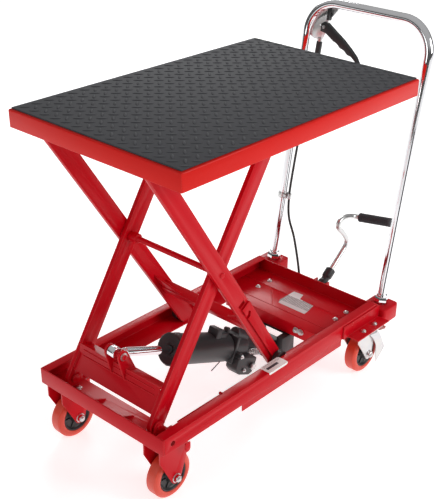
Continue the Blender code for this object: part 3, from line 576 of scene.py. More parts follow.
def pierced(obj, start, end, radius, steps=32):
    """Drills a round hole."""
    cutter = bar("drill", start, end, radius, steps, 0.0)
    step = obj.modifiers.new("hole", "BOOLEAN")
    step.operation = "DIFFERENCE"
    step.solver = "EXACT"
    step.object = cutter
    name = obj.name
    obj = applied(obj)
    bpy.data.objects.remove(cutter, do_unlink=True)
    obj.name = name
    return obj


def fused(name, *pieces):
    """Several touching pieces as one object."""
    bm = bmesh.new()
    for piece in pieces:
        bm.from_mesh(piece.data)
        bpy.data.objects.remove(piece, do_unlink=True)
    return linked(name, bm)


def publish(obj, body, slot, look=None, replaced=(), angle=38.0):
    """Smooths, paints and hands over a finished piece."""
    obj.data.materials.clear()
    obj.data.materials.append(finish(look or slot))
    for face in obj.data.polygons:
        face.material_index = 0
    obj.data.shade_smooth()
    obj.data.set_sharp_from_angle(angle=math.radians(angle))
    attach(obj, body)
    if replaced:
        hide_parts(*replaced)
    return obj


def body_of(node):
    return NODES[node]["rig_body"]


def slot_of(node):
    for entry in frame["record"]["subparts"]:
        if entry["node"] == node:
            return entry["material_slot"]
    raise RuntimeError(f"no material slot is recorded for {node}")


def softened(node, width, segments=2, look=None, limit=30.0):
    """A frame piece with its sharp edges rounded over, standing in for the plain one."""
    bm = bmesh.new()
    bm.from_mesh(NODES[node].data)
    bmesh.ops.remove_doubles(bm, verts=bm.verts, dist=0.00002)
    bmesh.ops.dissolve_limit(bm, angle_limit=math.radians(0.8), verts=bm.verts, edges=bm.edges)
    obj = bevelled(linked(node + "_finished", bm), width, segments, limit)
    return publish(obj, body_of(node), slot_of(node), look, (node,))


# ---------------------------------------------------------------- places on the frame
HINGE = Vector((-0.327, 0, 0.1605))
LEG_ANGLE = math.radians(57.3)
INNER_WAY = Vector((math.cos(LEG_ANGLE), 0, math.sin(LEG_ANGLE)))
INNER_UP = Vector((-INNER_WAY.z, 0, INNER_WAY.x))
RAM_EYE = Vector((-0.314, 0, 0.268))
RAM_WAY = (Vector((0.165, 0, 0.065)) - RAM_EYE).normalized()
RAM_UP = Vector((-RAM_WAY.z, 0, RAM_WAY.x))
HANDLE_FOOT = Vector((0.3794, 0, 0.158))
HANDLE_LEAN = math.radians(9.6)
HANDLE_WAY = Vector((math.sin(HANDLE_LEAN), 0, math.cos(HANDLE_LEAN)))
HANDLE_OUT = Vector((math.cos(HANDLE_LEAN), 0, -math.sin(HANDLE_LEAN)))
HANDLE_HALF = 0.1665
HANDLE_LENGTH = (0.799 - 0.158) / math.cos(HANDLE_LEAN)
PEDAL_PIVOT = Vector((0.362, 0, 0.143))
PEDAL_WAY = Vector((math.cos(math.radians(38)), 0, math.sin(math.radians(38))))


def middle_of(node):
    low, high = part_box(node)
    return (low + high) / 2


def on_ram(distance, lift=0.0, side=0.0):
    """A point by its distance along the ram from its eye, above its line and to the side."""
    return RAM_EYE + RAM_WAY * distance + RAM_UP * lift + Vector((0, side, 0))


def on_handle(height, y, out=0.0):
    """A point in the leaning handle's own plane, or in front of it."""
    return HANDLE_FOOT + HANDLE_WAY * height + Vector((0, y, 0)) + HANDLE_OUT * out


def arc(centre, radius, start, end, count):
    """(u, v) points on an arc, angles in degrees."""
    turns = [math.radians(start + (end - start) * i / count) for i in range(count + 1)]
    return [(centre[0] + radius * math.cos(t), centre[1] + radius * math.sin(t)) for t in turns]


def route(points, step):
    """Evenly spaced points on a smooth curve through the given ones."""
    spots = [Vector(p) for p in points]
    spots = [2 * spots[0] - spots[1]] + spots + [2 * spots[-1] - spots[-2]]
    found = []
    for a, b, c, d in zip(spots, spots[1:], spots[2:], spots[3:]):
        pieces = max(1, round((c - b).length / step))
        for i in range(pieces):
            t = i / pieces
            bend = (2 * a - 5 * b + 4 * c - d) * t ** 2 + (3 * b - a - 3 * c + d) * t ** 3
            found.append(0.5 * (2 * b + (c - a) * t + bend))
    return found + [spots[-2]]


# ---------------------------------------------------------------- repeats
def fastener_tree():
    """A washer, a chamfered head, a crown and a stud end on every marked point, each at its own turn."""
    tree = Growth("fasteners")
    sides = tree.want("Sides", "Int", 6)
    head, height = tree.want("Head radius", "Float", 0.006), tree.want("Head height", "Float", 0.004)
    washer, thick = tree.want("Washer radius", "Float", 0.008), tree.want("Washer height", "Float", 0.001)
    crown = tree.want("Crown height", "Float", 0.0)
    stud, proud = tree.want("Stud radius", "Float", 0.0), tree.want("Stud height", "Float", 0.0)
    seed = tree.want("Seed", "Int", 3)
    material = tree.want("Material", "Material")
    parts = [
        tree.frustum(24, washer, washer * 0.95, thick, -0.0),
        tree.frustum(sides, head * 0.97, head, height * 0.15, thick),
        tree.frustum(sides, head, head, height * 0.60, thick + height * 0.15),
        tree.frustum(sides, head, head * 0.84, height * 0.25, thick + height * 0.75),
        tree.frustum(16, stud, stud * 0.8, proud, thick + height),
    ]
    ball = tree.node("GeometryNodeMeshUVSphere", None, {"Segments": 20, "Rings": 10, "Radius": 1.0})
    place, scale = tree.vector(z=thick + height * 0.92), tree.vector(head * 0.9, head * 0.9, crown)
    parts.append(tree.moved(ball, place, scale=scale))
    shape = tree.node("GeometryNodeJoinGeometry", None, {0: parts})
    facing = tree.node("GeometryNodeInputNamedAttribute", {"data_type": "FLOAT_VECTOR"}, {"Name": "facing"})
    turn = tree.node("FunctionNodeAlignRotationToVector", {"axis": "Z"}, {"Vector": facing})
    inputs = {"Points": tree.geometry, "Instance": shape, "Rotation": turn}
    placed = tree.node("GeometryNodeInstanceOnPoints", None, inputs)
    spin = tree.node("FunctionNodeRandomValue", {"data_type": "FLOAT"}, {2: 0.0, 3: 3.14159, "Seed": seed}, 1)
    inputs = {"Instances": placed, "Rotation": tree.vector(z=spin), "Local Space": True}
    return tree.closing(tree.node("GeometryNodeRotateInstances", None, inputs), material)


def tread_plate_tree():
    """Two crossed lattices of lens-shaped bumps over a slab."""
    tree = Growth("tread plate")
    columns, rows = tree.want("Columns", "Int", 24), tree.want("Rows", "Int", 15)
    pitch_x, pitch_y = tree.want("Pitch X", "Float", 0.0289), tree.want("Pitch Y", "Float", 0.0297)
    middle_x, middle_y = tree.want("Middle X", "Float", 0.0), tree.want("Middle Y", "Float", 0.0)
    level = tree.want("Level", "Float", 0.0)
    length, width = tree.want("Bump length", "Float", 0.021), tree.want("Bump width", "Float", 0.006)
    height = tree.want("Bump height", "Float", 0.0009)
    material = tree.want("Material", "Material")
    ball = tree.node("GeometryNodeMeshUVSphere", None, {"Segments": 14, "Rings": 8, "Radius": 0.5})
    lens = tree.moved(ball, scale=tree.vector(length, width, height * 2.0))
    lattices = [tree.geometry]
    for lean, step, fewer in ((-0.7854, 0.0, 0), (0.7854, 0.5, 1)):
        across, deep = columns - fewer, rows - fewer
        size_x, size_y = pitch_x * (across - 1), pitch_y * (deep - 1)
        inputs = {"Size X": size_x, "Size Y": size_y, "Vertices X": across, "Vertices Y": deep}
        grid = tree.node("GeometryNodeMeshGrid", None, inputs)
        grid = tree.moved(grid, tree.vector(middle_x, middle_y, level))
        inputs = {"Points": grid, "Instance": lens, "Rotation": tree.vector(z=lean)}
        lattices.append(tree.node("GeometryNodeInstanceOnPoints", None, inputs))
    return tree.closing(tree.node("GeometryNodeJoinGeometry", None, {0: lattices}), material)


def ring_tree():
    """Copies of the input shape turned about an axis: spokes, ribs and knurls."""
    tree = Growth("ring of copies")
    count = tree.want("Count", "Int", 8)
    centre, axis = tree.want("Centre", "Vector"), tree.want("Axis", "Vector", (0.0, 1.0, 0.0))
    material = tree.want("Material", "Material")
    line = tree.node("GeometryNodeMeshLine", None, {"Count": count, "Offset": tree.vector()})
    index = tree.node("GeometryNodeInputIndex")
    angle = index * (math.tau / count)
    turn = tree.node("FunctionNodeAxisAngleToRotation", None, {"Axis": axis, "Angle": angle})
    here = tree.node("ShaderNodeVectorMath", {"operation": "SCALE"}, {0: centre, "Scale": -1.0})
    shape = tree.moved(tree.geometry, here)
    inputs = {"Points": line, "Instance": shape, "Rotation": turn}
    placed = tree.node("GeometryNodeInstanceOnPoints", None, inputs)
    return tree.closing(tree.moved(placed, centre), material)


def row_tree():
    """Copies of the input shape in a straight row."""
    tree = Growth("row of copies")
    count, step = tree.want("Count", "Int", 8), tree.want("Step", "Vector", (0.0, 0.01, 0.0))
    material = tree.want("Material", "Material")
    line = tree.node("GeometryNodeMeshLine", None, {"Count": count, "Offset": step})
    placed = tree.node("GeometryNodeInstanceOnPoints", None, {"Points": line, "Instance": tree.geometry})
    return tree.closing(placed, material)


TREES = {}


def grown(obj, maker, material, **values):
    """Runs a node tree over an object with these inputs and keeps the result as a plain mesh."""
    if maker not in TREES:
        TREES[maker] = maker()
    group = TREES[maker]
    modifier = obj.modifiers.new("grow", "NODES")
    modifier.node_group = group
    values = {key.replace("_", " ").capitalize(): value for key, value in values.items()}
    values["Material"] = finish(material)
    for item in group.interface.items_tree:
        if item.in_out != "INPUT" or item.name == "Geometry":
            continue
        given = next((value for key, value in values.items() if key.lower() == item.name.lower()), None)
        if given is not None:
            modifier[item.identifier] = given
    obj.update_tag()
    return applied(obj)


def fasteners(name, body, slot, spots, **values):
    """One mesh of equal fasteners; each spot is a place and the way its head faces."""
    mesh = bpy.data.meshes.new(name)
    mesh.from_pydata([tuple(place) for place, _ in spots], [], [])
    facing = mesh.attributes.new("facing", "FLOAT_VECTOR", "POINT")
    for item, (_, way) in zip(facing.data, spots):
        item.vector = way
    obj = bpy.data.objects.new(name, mesh)
    bpy.context.scene.collection.objects.link(obj)
    return publish(grown(obj, fastener_tree, slot, **values), body, slot)


# ---------------------------------------------------------------- settings
def colour(name, description, default):
    return FloatVectorProperty(
        name=name, description=description, default=default, subtype="COLOR", min=0, max=1
    )


def length(name, description, default, low=0.0):
    return FloatProperty(
        name=name, description=description, default=default, min=low, unit="LENGTH", precision=5
    )


def angle(name, description, degrees):
    return FloatProperty(name=name, description=description, default=math.radians(degrees), subtype="ANGLE")


class LiftColours(bpy.types.PropertyGroup):
    """Base colours of the finishes, as linear values."""

    paint: colour("Paint", "Powder coat of the frame", (0.57, 0.0018, 0.0095))
    platform_paint: colour("Platform paint", "Powder coat of the platform", (0.68, 0.0100, 0.0060))
    # painted highlight: this paler red is mixed into the paint along the edges, where light catches them
    worn_paint: colour("Worn paint", "Painted highlight along edges", (0.80, 0.16, 0.15))
    rubber: colour("Rubber", "Mat and grip", (0.070, 0.071, 0.078))
    chrome: colour("Chrome", "Handle and ram rod", (0.86, 0.86, 0.88))
    zinc: colour("Zinc", "Rear forks, bolts and bracket", (0.72, 0.72, 0.72))
    casting: colour("Casting", "Pump and reservoir", (0.018, 0.019, 0.021))
    plastic: colour("Plastic", "Hubs, rollers and lever", (0.017, 0.017, 0.018))
    tread: colour("Tread", "Wheel treads", (0.76, 0.055, 0.022))
    brake: colour("Brake cap", "Caps of the brake pedals", (0.33, 0.075, 0.060))


class LiftMat(bpy.types.PropertyGroup):
    """The mat's tread-plate pattern."""

    pitch_x: length("Pitch along", "Step of the bumps along the platform", 0.0289)
    pitch_y: length("Pitch across", "Step of the bumps across the platform", 0.0297)
    middle_x: length("Middle along", "Middle of the pattern along the platform", 0.0036, low=-1.0)
    middle_y: length("Middle across", "Middle of the pattern across the platform", -0.0062, low=-1.0)
    bump_length: length("Bump length", "Length of one bump", 0.0215)
    bump_width: length("Bump width", "Width of one bump", 0.0062)
    bump_height: length("Bump height", "Height of one bump", 0.0015)
    columns: IntProperty(name="Columns", description="Bumps along the platform", default=24, min=2)
    rows: IntProperty(name="Rows", description="Bumps across the platform", default=15, min=2)


class LiftWheels(bpy.types.PropertyGroup):
    """The four equal wheels."""

    radius: length("Radius", "Radius over the tread", 0.0500)
    width: length("Width", "Width of the tread", 0.0310)
    hub_radius: length("Hub radius", "Radius where the tread meets the hub", 0.0350)
    spokes: IntProperty(name="Spokes", description="Ribs on each side of the hub", default=6, min=2)


class LiftStage(bpy.types.PropertyGroup):
    """Camera and studio."""

    camera_place: FloatVectorProperty(
        name="Camera place", description="Where the camera stands", default=(-1.3715, -1.2377, 1.3182),
        subtype="XYZ",
    )
    azimuth: angle("Azimuth", "Turn of the view about the upright", -49.074)
    elevation: angle("Elevation", "How far the view looks down", 29.182)
    roll: angle("Roll", "Tilt of the view", 1.107)
    lens: FloatProperty(name="Lens", description="Focal length on a 36 mm film", default=80.79, min=10.0)
    shift: FloatVectorProperty(name="Shift", description="Lens shift", default=(-0.0526, 0.0885), size=2)
    floor_size: FloatProperty(name="Floor size", description="Side of the floor", default=30.0, unit="LENGTH")


# Each light's name, place, the height that it aims at over the middle, its side and its power
LIGHTS = (
    ("key", (1.2, -2.9, 1.9), 0.4, 1.6, 50.0),
    ("back", (2.4, 2.6, 2.0), 0.6, 1.4, 40.0),
    ("front fill", (-3.2, 0.6, 1.2), 0.4, 1.2, 10.0),
)
# The dome's greys, from straight down to straight up
DOME_GREYS = ((0.0, 0.18), (0.22, 0.22), (0.45, 0.9), (1.0, 1.0))
DOME_STRENGTH = 0.44
FLOOR_GLOW = 0.64


class LIFT_OT_stage(bpy.types.Operator):
    """Pale floor, soft lights and the camera"""

    bl_idname = "lift.stage"
    bl_label = "Stage"

    def execute(self, context):
        stage = context.scene.lift_stage
        self.add_camera(context, stage)
        self.add_floor(stage)
        for name, place, aim_height, size, power in LIGHTS:
            self.add_light(name, place, (0.0, 0.0, aim_height), size, power)
        self.add_card("near card", (0.07, -0.50, 0.24), (0.45, -0.1665, 0.24), 0.22, 0.62)
        self.add_world(context)
        context.scene.view_settings.view_transform = "Standard"
        return {"FINISHED"}

    def add_camera(self, context, stage):
        back = Vector((
            math.sin(stage.azimuth) * math.cos(stage.elevation),
            -math.cos(stage.azimuth) * math.cos(stage.elevation),
            math.sin(stage.elevation),
        ))
        right = Vector((0, 0, 1)).cross(back).normalized()
        up = back.cross(right)
        turn = Matrix((right, up, back)).transposed() @ Matrix.Rotation(stage.roll, 3, "Z")
        data = bpy.data.cameras.new("camera")
        data.sensor_width = 36.0
        data.sensor_fit = "HORIZONTAL"
        data.lens = stage.lens
        data.shift_x, data.shift_y = stage.shift
        data.clip_end = 60.0
        camera = bpy.data.objects.new("camera", data)
        camera.matrix_world = Matrix.Translation(stage.camera_place) @ turn.to_4x4()
        context.scene.collection.objects.link(camera)
        context.scene.camera = camera

    def add_floor(self, stage):
        bm = bmesh.new()
        bmesh.ops.create_grid(bm, x_segments=1, y_segments=1, size=stage.floor_size / 2)
        floor = linked("floor", bm)
        pale = Finish("pale floor")
        mottle = pale.noise(3.0, 2.0)
        tone = pale.mix(mottle, (0.80, 0.80, 0.80), (0.84, 0.84, 0.84))
        white = (1.0, 1.0, 1.0)
        pale.surface(base_color=tone, roughness=0.8, emission_color=white, emission_strength=FLOOR_GLOW)
        floor.data.materials.append(pale.material)

    def add_light(self, name, place, aim, size, power):
        data = bpy.data.lights.new(name, "AREA")
        data.shape = "SQUARE"
        data.size = size
        data.energy = power
        light = bpy.data.objects.new(name, data)
        light.location = place
        light.rotation_euler = (Vector(aim) - Vector(place)).to_track_quat("-Z", "Y").to_euler()
        bpy.context.scene.collection.objects.link(light)

    def add_card(self, name, place, aim, width, height):
        """A black card that only mirror-like surfaces see."""
        bm = bmesh.new()
        bmesh.ops.create_grid(bm, x_segments=1, y_segments=1, size=0.5)
        bmesh.ops.scale(bm, vec=(width, height, 1.0), verts=bm.verts)
        turn = (Vector(aim) - Vector(place)).to_track_quat("Z", "Y").to_matrix().to_4x4()
        bmesh.ops.transform(bm, matrix=Matrix.Translation(place) @ turn, verts=bm.verts)
        card = linked(name, bm)
        card.visible_camera = card.visible_diffuse = card.visible_shadow = card.visible_transmission = False
        black = Finish(name + " cloth")
        weave = black.noise(400.0, 2.0)
        black.surface(base_color=black.mix(weave, (0.01, 0.01, 0.01), (0.03, 0.03, 0.03)))
        card.data.materials.append(black.material)

    def add_world(self, context):
        """A white dome over a darker band near the horizon."""
        world = bpy.data.worlds.new("studio")
        dome = Dome(world)
        point = dome.node("ShaderNodeTexCoord", output="Generated")
        height = dome.node("ShaderNodeSeparateXYZ", None, {0: point}, "Z")
        greys = [(place, (grey,) * 3) for place, grey in DOME_GREYS]
        shades = dome.node("ShaderNodeValToRGB", {"stops": greys}, {0: height})
        dome.put(dome.background.inputs["Color"], shades)
        dome.put(dome.background.inputs["Strength"], DOME_STRENGTH)
        context.scene.world = world


class LIFT_OT_plain(bpy.types.Operator):
    """Gives every frame piece its finish"""

    bl_idname = "lift.plain"
    bl_label = "Plain finishes"

    def execute(self, context):
        for node, obj in NODES.items():
            obj.data.materials.clear()
            obj.data.materials.append(finish(slot_of(node)))
        return {"FINISHED"}


SOFT_EDGES = (
    (0.0011, "front_channel side_rail_left side_rail_right deck_tray rear_channel caster_bracket_left "
     "caster_bracket_right base_hinge_left base_hinge_right front_fork_left front_fork_right safety_bar "
     "top_hinge_left top_hinge_right top_track_left top_track_right centre_rod"),
    (0.0014, "inner_cross_plate outer_cross_tie"),
    (0.0018, "inner_leg_left inner_leg_right outer_leg_left outer_leg_right"),
    (0.0030, "handle_socket_left handle_socket_right"),
    (0.0008, "swivel_plate_left swivel_plate_right rear_fork_left rear_fork_right pump_mount"),
)


class LIFT_OT_steelwork(bpy.types.Operator):
    """Rounds the edges of the pressed and welded steel pieces"""

    bl_idname = "lift.steelwork"
    bl_label = "Steelwork"

    def execute(self, context):
        for width, names in SOFT_EDGES:
            for node in names.split():
                softened(node, width)
        softened("platform_pan", 0.0006, look="platform_paint")
        return {"FINISHED"}


class LIFT_OT_mat(bpy.types.Operator):
    """Rubber mat with a tread-plate pattern"""

    bl_idname = "lift.mat"
    bl_label = "Rubber mat"

    def execute(self, context):
        mat = context.scene.lift_mat
        low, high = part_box("rubber_mat")
        slab = block("mat", low, high, 0.0010, segments=3)
        slab = grown(
            slab, tread_plate_tree, "black_rubber", level=high[2] - 0.0001, **{
                name: getattr(mat, name) for name in LiftMat.__annotations__
            }
        )
        publish(slab, "platform", "black_rubber", replaced=("rubber_mat",))
        return {"FINISHED"}


class LIFT_OT_wheels(bpy.types.Operator):
    """Polyurethane treads on dished black hubs"""

    bl_idname = "lift.wheels"
    bl_label = "Wheels"

    def execute(self, context):
        for end in ("front", "rear"):
            for side, _ in SIDES:
                self.wheel(context.scene.lift_wheels, f"{end}_wheel_{side}")
        return {"FINISHED"}

    def wheel(self, sizes, name):
        half, radius, rim = sizes.width / 2, sizes.radius, sizes.hub_radius
        centre = middle_of(name + "_tread")
        side = Vector((0, 1, 0))
        shoulder = [(half - 0.0012, rim), (half, rim + 0.003), (half - 0.0004, radius - 0.006),
                    (half - 0.0045, radius), (0.0, radius), (-half + 0.0045, radius),
                    (-half + 0.0004, radius - 0.006), (-half, rim + 0.003), (-half + 0.0012, rim)]
        tread = turned(name + "_tyre", filleted(shoulder, 0.0022, 4), centre, side, 96, ring=True)
        publish(tread, body_of(name + "_tread"), "red_polyurethane", replaced=(name + "_tread",))
        dish = [(0.0184, 0.0054), (0.0184, 0.0125), (0.0125, 0.0142), (0.0080, 0.0165), (0.0078, 0.0275),
                (0.0105, 0.0305), (0.0138, 0.0322), (0.0142, rim - 0.0004)]
        profile = dish + [(-distance, r) for distance, r in reversed(dish)]
        core = turned(name + "_core", filleted(profile, 0.0010, 2), centre, side, 72, ring=True)
        spokes = []
        for sign in (-1, 1):
            low = centre + Vector((0.0150, sign * 0.0086 - 0.0014, -0.0010))
            spoke = block("spoke", low, low + Vector((0.0150, 0.0028, 0.0020)), 0.0005)
            around = {"count": sizes.spokes, "centre": centre, "axis": side}
            spokes.append(grown(spoke, ring_tree, "black_plastic", **around))
        hub = fused(name + "_hub_finished", core, *spokes)
        publish(hub, body_of(name + "_hub"), "black_plastic", replaced=(name + "_hub",))


class LIFT_OT_rollers(bpy.types.Operator):
    """Black rollers at the open ends of the legs"""

    bl_idname = "lift.rollers"
    bl_label = "Rollers"

    def execute(self, context):
        half = [(0.0070, 0.0064), (0.0070, 0.0090), (0.0055, 0.0105), (0.0055, 0.0165), (0.0070, 0.0180),
                (0.0062, 0.0199)]
        profile = half + [(-distance, radius) for distance, radius in reversed(half)]
        outline = filleted(profile, 0.0006, 2)
        for side, _ in SIDES:
            for level in ("lower", "upper"):
                name = f"{level}_roller_{side}"
                roller = turned(name + "_finished", outline, middle_of(name), (0, 1, 0), 64, ring=True)
                publish(roller, body_of(name), "black_plastic", replaced=(name,))
        return {"FINISHED"}


class LIFT_OT_casters(bpy.types.Operator):
    """Ball races, axle nuts and brake pedals of the casters"""

    bl_idname = "lift.casters"
    bl_label = "Casters"

    def execute(self, context):
        for side, sign in SIDES:
            rear = middle_of(f"rear_wheel_{side}_tread")
            self.axle("front_axle_nuts_" + side, "base", middle_of(f"front_wheel_{side}_tread"))
            self.axle("rear_axle_nuts_" + side, f"rear_{side}_fork", rear)
            self.race(side, rear.y)
            self.brake(side, sign, rear.y)
        return {"FINISHED"}

    def axle(self, name, body, centre):
        across, reach = Vector((0, 1, 0)), 0.0237
        spots = [(centre + across * reach, across), (centre - across * reach, -across)]
        fasteners(
            name, body, "zinc_plate", spots, head_radius=0.0084, head_height=0.0056, washer_radius=0.0108,
            washer_height=0.0014, stud_radius=0.0050, stud_height=0.0026, seed=7,
        )

    def race(self, side, y):
        """The two cups that the ball bearing of a swivelling caster runs in."""
        top = Vector((0.290, y, 0.1367))
        down = Vector((0, 0, -1))
        cup = [(0.0035, 0.0), (0.0035, 0.0260), (0.0060, 0.0262), (0.0085, 0.0240), (0.0095, 0.0232),
               (0.0108, 0.0230), (0.0108, 0.0)]
        upper = turned("upper_race_" + side, filleted(cup, 0.0008, 2, False), top, down, 64)
        publish(upper, "base", "zinc_plate")
        ring = [(0.0113, 0.0), (0.0113, 0.0232), (0.0130, 0.0244), (0.0150, 0.0232), (0.0150, 0.0)]
        lower = turned("lower_race_" + side, filleted(ring, 0.0008, 2, False), top, down, 64)
        publish(lower, f"rear_{side}_fork", "zinc_plate")

    def brake(self, side, sign, y):
        """A ribbed tab, a blade on each side of the fork and the rod that they turn on."""
        node = "brake_tab_" + side
        body = body_of(node)
        pivot = Vector((0.335, y, 0.1065))
        softened(node, 0.0012, 2)
        ribs = block("brake_ribs_" + side, (0.3700, y - 0.0115, 0.0918), (0.3722, y + 0.0115, 0.0950), 0.0005)
        ribs = grown(ribs, row_tree, "brake_tab_red", count=5, step=Vector((0.0044, 0.0, -0.0011)))
        publish(ribs, body, "brake_tab_red")
        outline = [(-0.030, 0.0015), (0.008, -0.0050), (0.021, -0.0265), (0.039, -0.0615), (0.031, -0.0705),
                   (0.006, -0.0915), (0.001, -0.0700), (0.001, -0.0420), (-0.012, -0.0180)]
        outline = filleted(outline, 0.004, 4)
        for turn in (-1, 1):
            place = pivot + Vector((0, turn * 0.0268, 0))
            cheek = flat("cheek", outline, place, (1, 0, 0), (0, 0, 1), 0.0016, 0.0005)
            publish(cheek, body, "zinc_plate")
            cheek.name = f"brake_cheek_{side}_{'out' if turn == sign else 'in'}"
        reach = Vector((0, 0.0285, 0))
        pin = bar("brake_rod_" + side, pivot - reach, pivot + reach, 0.0034, 20)
        publish(pin, body, "zinc_plate")


class LIFT_OT_bolts(bpy.types.Operator):
    """Bolts, rivets and nuts of the frame"""

    bl_idname = "lift.bolts"
    bl_label = "Bolts"

    def execute(self, context):
        up, down = Vector((0, 0, 1)), Vector((0, 0, -1))
        dome = {"sides": 24, "head_radius": 0.0062, "head_height": 0.0014, "crown_height": 0.0032,
                "washer_radius": 0.0066, "washer_height": 0.0006}
        hexes = {"head_radius": 0.0062, "head_height": 0.0044, "washer_radius": 0.0080,
                 "washer_height": 0.0012, "stud_radius": 0.0032, "stud_height": 0.002}
        flat_hexes = {"head_radius": 0.0062, "head_height": 0.0028, "washer_radius": 0.0080,
                      "washer_height": 0.0008}
        deck = [(0.306, -0.1205), (0.263, -0.1200), (0.259, 0.115), (0.301, 0.113)]
        deck += [(x, sign * 0.2000) for x in (0.308, 0.264) for sign in (-1, 1)]
        front = [(x, sign * y) for x, y in ((-0.3247, 0.128), (-0.328, 0.105)) for sign in (-1, 1)]
        under = [(x, sign * y) for x in (0.264, 0.308) for y in (0.124, 0.200) for sign in (-1, 1)]
        for name, spots, level, way, seed, sizes in (
            ("deck_bolts", deck, 0.1401, up, 2, dome),
            ("front_caster_bolts", front, 0.1401, up, 4, dome),
            ("caster_nuts", under, 0.1327, down, 5, flat_hexes),
        ):
            spots = [(Vector((x, y, level)), way) for x, y in spots]
            fasteners(name, "base", "zinc_plate", spots, seed=seed, **sizes)
        spots = [(Vector((0.1779, y, 0.1275)), Vector((-1, 0, 0))) for y in (-0.070, -0.084, 0.070, 0.084)]
        fasteners("lip_nuts", "base", "zinc_plate", spots, seed=6, **hexes)
        return {"FINISHED"}


